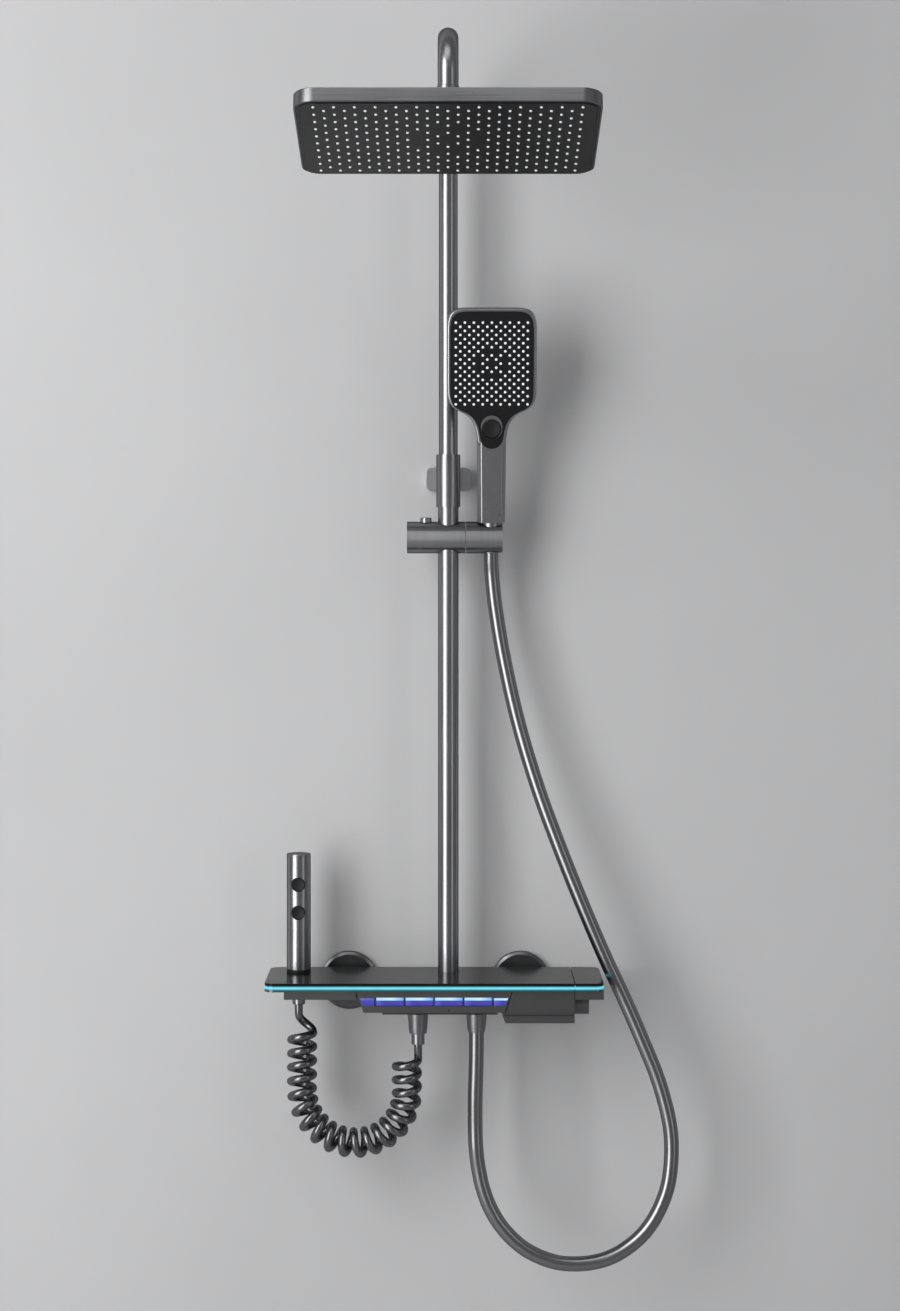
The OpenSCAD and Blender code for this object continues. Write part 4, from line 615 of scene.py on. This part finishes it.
ball_middle = pivot("head_tilt")
ball = turned("ball_and_collar", [(0.0, -0.0110), (0.0042, -0.01017), (0.0078, -0.0078), (0.01017, -0.0042),
                                  (0.0110, 0.0), (0.01017, 0.0042), (0.0078, 0.0078), (0.0050, 0.0098),
                                  (0.0050, 0.01904), (0.0122, 0.01904), (0.0130, 0.0198), (0.0130, 0.0240),
                                  (0.0126, 0.0246), (0.0118, 0.0252), (0.0117, 0.0286), (0.0113, 0.02904),
                                  (0.0099, 0.02904), (0.0099, 0.0374), (0.0, 0.0374)],
              ball_middle, sides=64)
fit(ball, "overhead_arm", gunmetal_round, "gunmetal", "ball_stud")
dress("ball_seat", white_acetal)
fit(eased("ring_nut", "ball_nut", 0.0006), "head", gunmetal, "gunmetal", "ball_nut")


# The head's shell: pressed stainless sheet with deep rounded corners, brushed across and coated
# in gunmetal, with a boss on its back for the ball.
def stood(piece, place, lean):
    """Moves and turns a finished piece into its place, and leaves its object at the origin."""
    only(piece)
    piece.location, piece.rotation_euler = place, lean
    bpy.ops.object.transform_apply(location=True, rotation=True, scale=True)
    return piece


head_lean = (math.radians(-12.8), 0, 0)
half_width, half_depth, head_foot, head_top = 0.157, 0.1025, -0.02794, -0.01294
corner, corner_reach, near = 0.022, 0.2460, 0.0002
rim, well = 0.0018, 0.0034
brushed_across = finish("gunmetal_brushed_across", (0.25, 0.25, 0.26), metal=1.0, rough=0.30,
                        grain=(10, 1600, 1600), light=0.16, relief=0.12, edge=0.35)
shell = block("head_cover", (-half_width, -half_depth, head_foot), (half_width, half_depth, head_top))
rounded(shell, corner, 12, lambda middle, way: abs(way.z) > 0.9)
rounded(shell, 0.0009, 3, lambda middle, way: middle.z > head_top - near / 4 and abs(way.z) < 0.1)
only(shell)
bpy.ops.object.mode_set(mode="EDIT")
pick("FACE", lambda middle, way: way.z < -0.9)
bpy.ops.mesh.inset(thickness=rim, depth=0)
bpy.ops.mesh.extrude_region_move(TRANSFORM_OT_translate={"value": (0, 0, well)})
bpy.ops.object.mode_set(mode="OBJECT")
rounded(shell, 0.0005, 2, lambda middle, way: middle.z < head_foot + near / 4 and abs(way.z) < 0.1
        and (abs(middle.x) > half_width - near or abs(middle.y) > half_depth - near
             or abs(middle.x) + abs(middle.y) > corner_reach))
smoothed(shell, 25)
boss = turned("head_boss", [(0.0127, -0.0139), (0.0160, -0.0139), (0.0160, 0.0), (0.0127, 0.0),
                            (0.0127, -0.0139)], sides=64, sharp=30)
fit(stood(joined("head_cover", [shell, boss]), ball_middle, head_lean), "head", brushed_across, "gunmetal",
    "head_shell")

# The head's face: a moulded black plate that fills the shell, with a bevelled border, fixed by six
# screws through its bosses.
black_face = finish("black_face_plate", (0.011, 0.011, 0.0115), rough=0.36, light=0.2, vary=0.06,
                    relief=0.15, gloss=0.16)
lip, plate_foot, plate_top, skim = 0.0020, -0.0278, -0.0250, 0.0005
border, step_width, step = 0.0030, 0.0006, 0.0009
plate_width, plate_depth = half_width - lip, half_depth - lip
plate = block("head_plate", (-plate_width, -plate_depth, plate_foot), (plate_width, plate_depth, plate_top))
rounded(plate, corner - lip, 12, lambda middle, way: abs(way.z) > 0.9)
only(plate)
bpy.ops.object.mode_set(mode="EDIT")
pick("FACE", lambda middle, way: way.z < -0.9)
bpy.ops.mesh.inset(thickness=border, depth=0)
bpy.ops.mesh.inset(thickness=step_width, depth=step)
bpy.ops.object.mode_set(mode="OBJECT")
rounded(plate, 0.0006, 2, lambda middle, way: abs(way.z) < 0.1 and middle.z < plate_foot + near / 2
        and (abs(middle.x) > plate_width - skim or abs(middle.y) > plate_depth - skim))
smoothed(plate, 25)
fit(stood(plate, ball_middle, head_lean), "head", black_face, "black_face", "head_face")
dress("head_screws", plain_steel)

# The head's nozzles: 248 soft silicone nubs on one mat behind the plate, fourteen columns with
# thirteen staggered between them, so that a thumb can rub the lime off.
silicone_painted_glow = finish("silicone_painted_glow", (0.95, 0.95, 0.96), rough=0.45, light=0.04)
silicone = silicone_painted_glow.node_tree.nodes["Principled BSDF"]
# The silicone glows faintly of itself: painted light that brightens the nubs, also in the shade under the
# head.
silicone.inputs["Emission Color"].default_value = (0.9, 0.93, 0.95, 1)
silicone.inputs["Emission Strength"].default_value = 0.14
columns, rows, pitch_x, pitch_y = 14, 10, 0.021, 0.0197
places = []
for column in range(columns):
    for row in range(rows):
        from_side, from_end = min(column, columns - 1 - column), min(row, rows - 1 - row)
        if (from_side, from_end) not in ((5, 4), (6, 3)):
            places.append(((column - (columns - 1) / 2) * pitch_x, (row - (rows - 1) / 2) * pitch_y, 0))
for column in range(columns - 1):
    for row in range(rows - 1):
        if (column, row) != (6, 4):
            places.append(((column - (columns - 2) / 2) * pitch_x, (row - (rows - 2) / 2) * pitch_y, 0))
nub = turned("nub", [(0.0016, -0.0279), (0.0015, -0.0288), (0.0013, -0.0297), (0.0009, -0.02994),
                     (0.0004, -0.02990), (0.0003, -0.0290), (0.0, -0.0290)], sides=8, sharp=60)
mat = block("head_mat", (-0.150, -0.0965, -0.0249), (0.150, 0.0965, -0.0231))
rounded(mat, 0.018, 6, lambda middle, way: abs(way.z) > 0.9)
rounded(mat, 0.0004, 2, lambda middle, way: abs(way.z) < 0.1)
nubs = joined("head_nubs", [mat] + copied(nub, places))
fit(stood(nubs, ball_middle, head_lean), "head", silicone_painted_glow, "silicone", "head_nozzles")

# The slider: a solid brass bar, 37 mm across, bored for the riser, with a plastic liner and a
# spring button that lets it go. Its right end is the holder, which turns on a pivot screw.
gunmetal_lying = finish("gunmetal_turned_lying", (0.29, 0.29, 0.30), metal=1.0, rough=0.34,
                        grain=(1500, 12, 12), edge=0.3, lathe="X")
fit(eased("slider_bar", "slider_body", 0.0005), "slider", gunmetal_lying, "gunmetal", "slider_body")
dress("slider_bush", black_moulding)
dress("slider_spring pivot_screw", plain_steel)
release = turned("release_button", [(0.0, -0.0121), (0.0060, -0.0121), (0.0065, -0.0116), (0.0065, -0.0012),
                                    (0.0062, -0.0005), (0.0055, -0.0001), (0.0, 0.0)],
                 (-0.010, -0.062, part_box("slider_button")[1].z))
fit(release, "slider_button", gunmetal, "gunmetal", "slider_button")
fit(eased("holder_bar", "handset_holder", 0.0005), "holder", gunmetal_lying, "gunmetal", "handset_holder")

# The handset's shell: moulded ABS with a metallic coat. A flat-fronted handle with chamfered
# edges widens through a short neck into a square head with a soft rim.
handset_place, handset_lean = (hose_points[0][0], *pivot("holder_tilt")[1:]), (math.radians(10), 0, 0)
metallic_coat = finish("metallic_coat", (0.32, 0.32, 0.33), metal=0.95, rough=0.31, grain=(1500, 1500, 300),
                       light=0.05, relief=0.04, edge=0.4)
half = [(0.0155, 0.1100), (0.0162, 0.1140), (0.0170, 0.1185), (0.0179, 0.1240), (0.0192, 0.1300),
        (0.0212, 0.1355), (0.0240, 0.1400), (0.0276, 0.1437), (0.0320, 0.1466), (0.0366, 0.1488),
        (0.0408, 0.1508), (0.0445, 0.1534), (0.0474, 0.1568), (0.0494, 0.1608), (0.0507, 0.1656),
        (0.0513, 0.1720), (0.0515, 0.1820), (0.0515, 0.2380), (0.0514, 0.2460), (0.0508, 0.2530),
        (0.0492, 0.2586), (0.0464, 0.2630), (0.0424, 0.2658), (0.0370, 0.2672), (0.0280, 0.2677)]
cover_front, cover_back = -0.0119, 0.0075
shell = drawn("handset_cover", half + [(-x, z) for x, z in reversed(half)], cover_front, cover_back)
rounded(shell, 0.0024, 4, lambda middle, way: middle.y < cover_front + near / 2)
rounded(shell, 0.0050, 4, lambda middle, way: middle.y > cover_back - near / 2)
handle_half, handle_front, handle_back, handle_foot, handle_top = 0.0160, -0.0123, 0.0125, 0.0188, 0.1280
flare, chamfer = 1.055, 0.0046
handle = block("handle", (-handle_half, handle_front, handle_foot), (handle_half, handle_back, handle_top))
only(handle)
bpy.ops.object.mode_set(mode="EDIT")
pick("FACE", lambda middle, way: way.z > 0.9)
bpy.ops.transform.resize(value=(flare, 1, 1), center_override=(0, 0, handle_top))
bpy.ops.object.mode_set(mode="OBJECT")
rounded(handle, 0.0080, 6, lambda middle, way: abs(way.z) > 0.9 and middle.y > 0)
rounded(handle, chamfer, 1, lambda middle, way: abs(way.z) > 0.9 and middle.y < handle_front + near)
rounded(handle, 0.0009, 3, lambda middle, way: abs(way.z) > 0.9 and middle.y < handle_front + chamfer + near)
rounded(handle, 0.0008, 2, lambda middle, way: middle.z < handle_foot + near / 2 and abs(way.z) < 0.2)
for piece in (shell, handle):
    smoothed(piece, 25)
spigot = turned("spigot", [(0.0, 0.0060), (0.0100, 0.0060), (0.0103, 0.0064), (0.0103, 0.0200),
                           (0.0, 0.0200)])
cover = stood(joined("handset_cover", [shell, handle, spigot]), handset_place, handset_lean)
fit(cover, "handset", metallic_coat, "gunmetal", "handset_shell")

# The handset's face: a gloss black plate with a tongue that runs down into the handle, a raised
# ring that frames the button, and over the ring's top a crescent coated like the shell, a painted highlight
# where the ring catches the light.
gloss_black = finish("gloss_black_plate", (0.016, 0.016, 0.017), rough=0.20, grain=(700, 700, 700),
                     light=0.2, vary=0.04, gloss=0.2)
half = [(0.0, 0.1055), (0.0046, 0.1062), (0.0086, 0.1084), (0.0115, 0.1117), (0.0131, 0.1160),
        (0.0140, 0.1215), (0.0151, 0.1275), (0.0168, 0.1333), (0.0194, 0.1384), (0.0232, 0.1428),
        (0.0281, 0.1464), (0.0337, 0.1492), (0.0387, 0.1516), (0.0425, 0.1541), (0.0452, 0.1574),
        (0.0468, 0.1616), (0.0477, 0.1666), (0.0481, 0.1726), (0.0482, 0.1820), (0.0482, 0.2380),
        (0.0481, 0.2454), (0.0474, 0.2516), (0.0458, 0.2566), (0.0432, 0.2602), (0.0396, 0.2626),
        (0.0344, 0.2639), (0.0270, 0.2644)]
plate_front, plate_back = -0.0125, -0.0095
plate = drawn("handset_plate", half + [(-x, z) for x, z in reversed(half[1:])], plate_front, plate_back)
rounded(plate, 0.0007, 3, lambda middle, way: middle.y < plate_front + near / 2)
smoothed(plate, 25)
ring_middle = 0.1292
frame_ring = turned("button_frame", [(0.0112, -0.0004), (0.0134, -0.0004), (0.0132, 0.0006), (0.0124, 0.0011),
                                     (0.0115, 0.0008), (0.0112, -0.0004)],
                    (0, -0.0124, ring_middle), (math.radians(84), 0, 0), sides=64, sharp=40)
framed = stood(joined("handset_plate", [plate, frame_ring]), handset_place, handset_lean)
fit(framed, "handset", gloss_black, "black_face", "handset_face")
# The crescent over the ring is a painted highlight, in the shell's metallic coat.
arc_steps, crescent_middle, outer_radius, inner_radius = 24, 0.1322, 0.0124, 0.0113
arc = [math.radians(-10 + 200 * i / arc_steps) for i in range(arc_steps + 1)]
upper_line = [(outer_radius * math.cos(a), crescent_middle + outer_radius * math.sin(a)) for a in arc]
lower_line = [(inner_radius * math.cos(a), ring_middle + inner_radius * math.sin(a)) for a in reversed(arc)]
highlight_crescent = drawn("button_painted_highlight", upper_line + lower_line, -0.0138, -0.0124)
fit(stood(highlight_crescent, handset_place, handset_lean), "handset", metallic_coat, "gunmetal")

# The handset's nozzles: soft silicone nubs in twenty-one staggered rows, with a few left out where
# the massage jet spreads.
rows, longest_row, pitch_x, pitch_z, jet_height = 21, 9, 0.0103, 0.0047, 0.2045
places = []
for row in range(rows):
    count = longest_row - row % 2
    for i in range(count):
        off_middle = row - (rows - 1) // 2
        if (abs(off_middle), count, min(i, count - 1 - i)) not in ((3, 8, 3), (1, 8, 2), (0, 9, 4)):
            places.append(((i - (count - 1) / 2) * pitch_x, 0, jet_height + off_middle * pitch_z))
nub = turned("nub", [(0.0016, -0.0010), (0.0016, 0.0003), (0.0013, 0.0010), (0.0008, 0.0013),
                     (0.0004, 0.0012), (0.0, 0.0009)], (0, -0.0123, 0), facing_front, sides=8, sharp=60)
mat = block("handset_mat", (-0.0440, -0.0094, 0.1545), (0.0440, -0.0081, 0.2545))
rounded(mat, 0.008, 5, lambda middle, way: abs(way.y) > 0.9)
nubs = joined("handset_nubs", [mat] + copied(nub, places))
# The handset's nubs share the silicone's painted glow.
fit(stood(nubs, handset_place, handset_lean), "handset", silicone_painted_glow, "silicone", "handset_nozzles")

# The mode button: a moulded black disc with a soft touch and a dished top, which snaps into the
# tongue of the face.
soft_black = finish("soft_touch_black", (0.010, 0.010, 0.0105), rough=0.5, light=0.25, gloss=0.3)
button = turned("mode_disc", [(0.0, 0.0012), (0.0060, 0.0014), (0.0090, 0.0022), (0.0100, 0.0023),
                              (0.0107, 0.0017), (0.0109, 0.0008), (0.0109, -0.0032), (0.0, -0.0032)],
                (0, -0.0124, 0.1294), facing_front, sides=64)
fit(stood(button, handset_place, handset_lean), "mode_button", soft_black, "black_plastic", "mode_button")

# The cone nut: a turned brass cone at the foot of the handset, which fits the tapered hole in the
# holder and grips the hose.
cone = turned("hose_cone", [(0.0087, -0.0172), (0.0099, -0.0172), (0.0102, -0.0168), (0.01185, 0.0180),
                            (0.0116, 0.0188), (0.0104, 0.0188), (0.0104, 0.0046), (0.0087, 0.0044),
                            (0.0087, -0.0172)], handset_place, handset_lean)
fit(cone, "handset", gunmetal_round, "gunmetal", "handset_hose_nut")

# The wand: a brushed stainless tube, 28 mm across, closed by a turned cap, with a two-button valve
# inside. It stands in a black socket through the shelf.
fit(eased("wand_body", "wand_tube", 0.0004), "wand", brushed_upright, "gunmetal", "wand_tube")
cap = turned("wand_end", [(0.0, 0.145), (0.0046, 0.145), (0.0046, 0.1531), (0.0140, 0.1531), (0.0140, 0.1561),
                          (0.0137, 0.1567), (0.0131, 0.1570), (0.0, 0.1568)],
             (wand_x, wand_y, 0), sides=64)
fit(cap, "wand", gunmetal_round, "gunmetal", "wand_cap")
wand_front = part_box("wand_tube")[0].y
for name in ("wand_upper_button", "wand_lower_button"):
    low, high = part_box(name)
    disc = turned(name + "_disc", [(0.0, 0.0006), (0.0048, 0.0008), (0.0066, 0.0013), (0.0073, 0.0014),
                                   (0.0078, 0.0010), (0.0080, 0.0002), (0.0080, -0.0062), (0.0, -0.0062)],
                  (wand_x, wand_front, (low.z + high.z) / 2), facing_front)
    fit(disc, name, soft_black, "black_plastic", name)
nut = turned("wand_hose_nut", [(0.0049, 0.0), (0.0067, 0.0), (0.00735, 0.0006), (0.00735, 0.01716),
                               (0.0069, 0.01764), (0.0049, 0.01764), (0.0049, 0.0)],
             (wand_x, wand_y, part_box("wand_nut")[0].z))
fit(nut, "wand", gunmetal_round, "gunmetal", "wand_nut")
fit(eased("wand_holder", "wand_socket", 0.0004), "column", soft_black, "black_plastic", "wand_socket")

# The studio: a pale plastered wall behind the column and a pale floor a metre below the shelf. Both
# are seen from the room only, so the column's back can be looked at too.
stage_paint, tree, plaster = unpainted("stage_paint")
plaster.inputs["Roughness"].default_value = 0.9
mottle = node(tree, "ShaderNodeTexNoise", in_Vector=node(tree, "ShaderNodeTexCoord").outputs["Object"],
              in_Scale=1.3, in_Detail=4.0).outputs[0]
shade = shades(tree, mottle, [(0.3, (0.52, 0.52, 0.525, 1)), (0.7, (0.57, 0.57, 0.575, 1))])
tree.links.new(shade, plaster.inputs["Base Color"])
clear = node(tree, "ShaderNodeBsdfTransparent").outputs[0]
behind = node(tree, "ShaderNodeNewGeometry").outputs["Backfacing"]
one_sided = node(tree, "ShaderNodeMixShader", in_0=behind, in_1=plaster.outputs[0], in_2=clear).outputs[0]
tree.links.new(one_sided, tree.nodes["Material Output"].inputs["Surface"])
for place, turn, name in (((0, 0.0006, 0.5), facing_front, "studio_wall"),
                          ((0, -5.0, -1.0), (0, 0, 0), "studio_floor")):
    bpy.ops.mesh.primitive_plane_add(size=10, location=place, rotation=turn)
    plane = bpy.context.object
    plane.name = name
    plane.data.materials.append(stage_paint)

# The studio's lamps: a tall soft box at the left, a weak one at the right, one overhead and two
# weak ones behind, which light the column's back when it is looked at from there.
for name, place, width, height, power in (
        ("left_box", (-1.75, -2.3, 0.80), 1.5, 3.2, 78),
        ("right_box", (2.3, -2.4, 0.6), 0.5, 2.8, 7),
        ("top_box", (-0.3, -1.9, 2.9), 2.2, 1.2, 12),
        ("back_left_box", (-2.2, 2.2, 1.6), 1.2, 1.8, 26),
        ("back_right_box", (2.2, 2.4, 1.2), 1.2, 1.8, 20)):
    aim = Vector((0.02, -0.1, 0.35)) - Vector(place)
    bpy.ops.object.light_add(type="AREA", location=place, rotation=aim.to_track_quat("-Z", "Y").to_euler())
    lamp = bpy.context.object
    lamp.name = name
    lamp.visible_camera = False
    lamp.data.shape = "RECTANGLE"
    lamp.data.size, lamp.data.size_y = width, height
    lamp.data.energy = power
world = bpy.data.worlds.new("studio_air")
bpy.context.scene.world = world
world.use_nodes = True
world.node_tree.nodes["Background"].inputs["Color"].default_value = (0.50, 0.505, 0.515, 1)
world.node_tree.nodes["Background"].inputs["Strength"].default_value = 0.42
bpy.context.scene.view_settings.view_transform = "Standard"
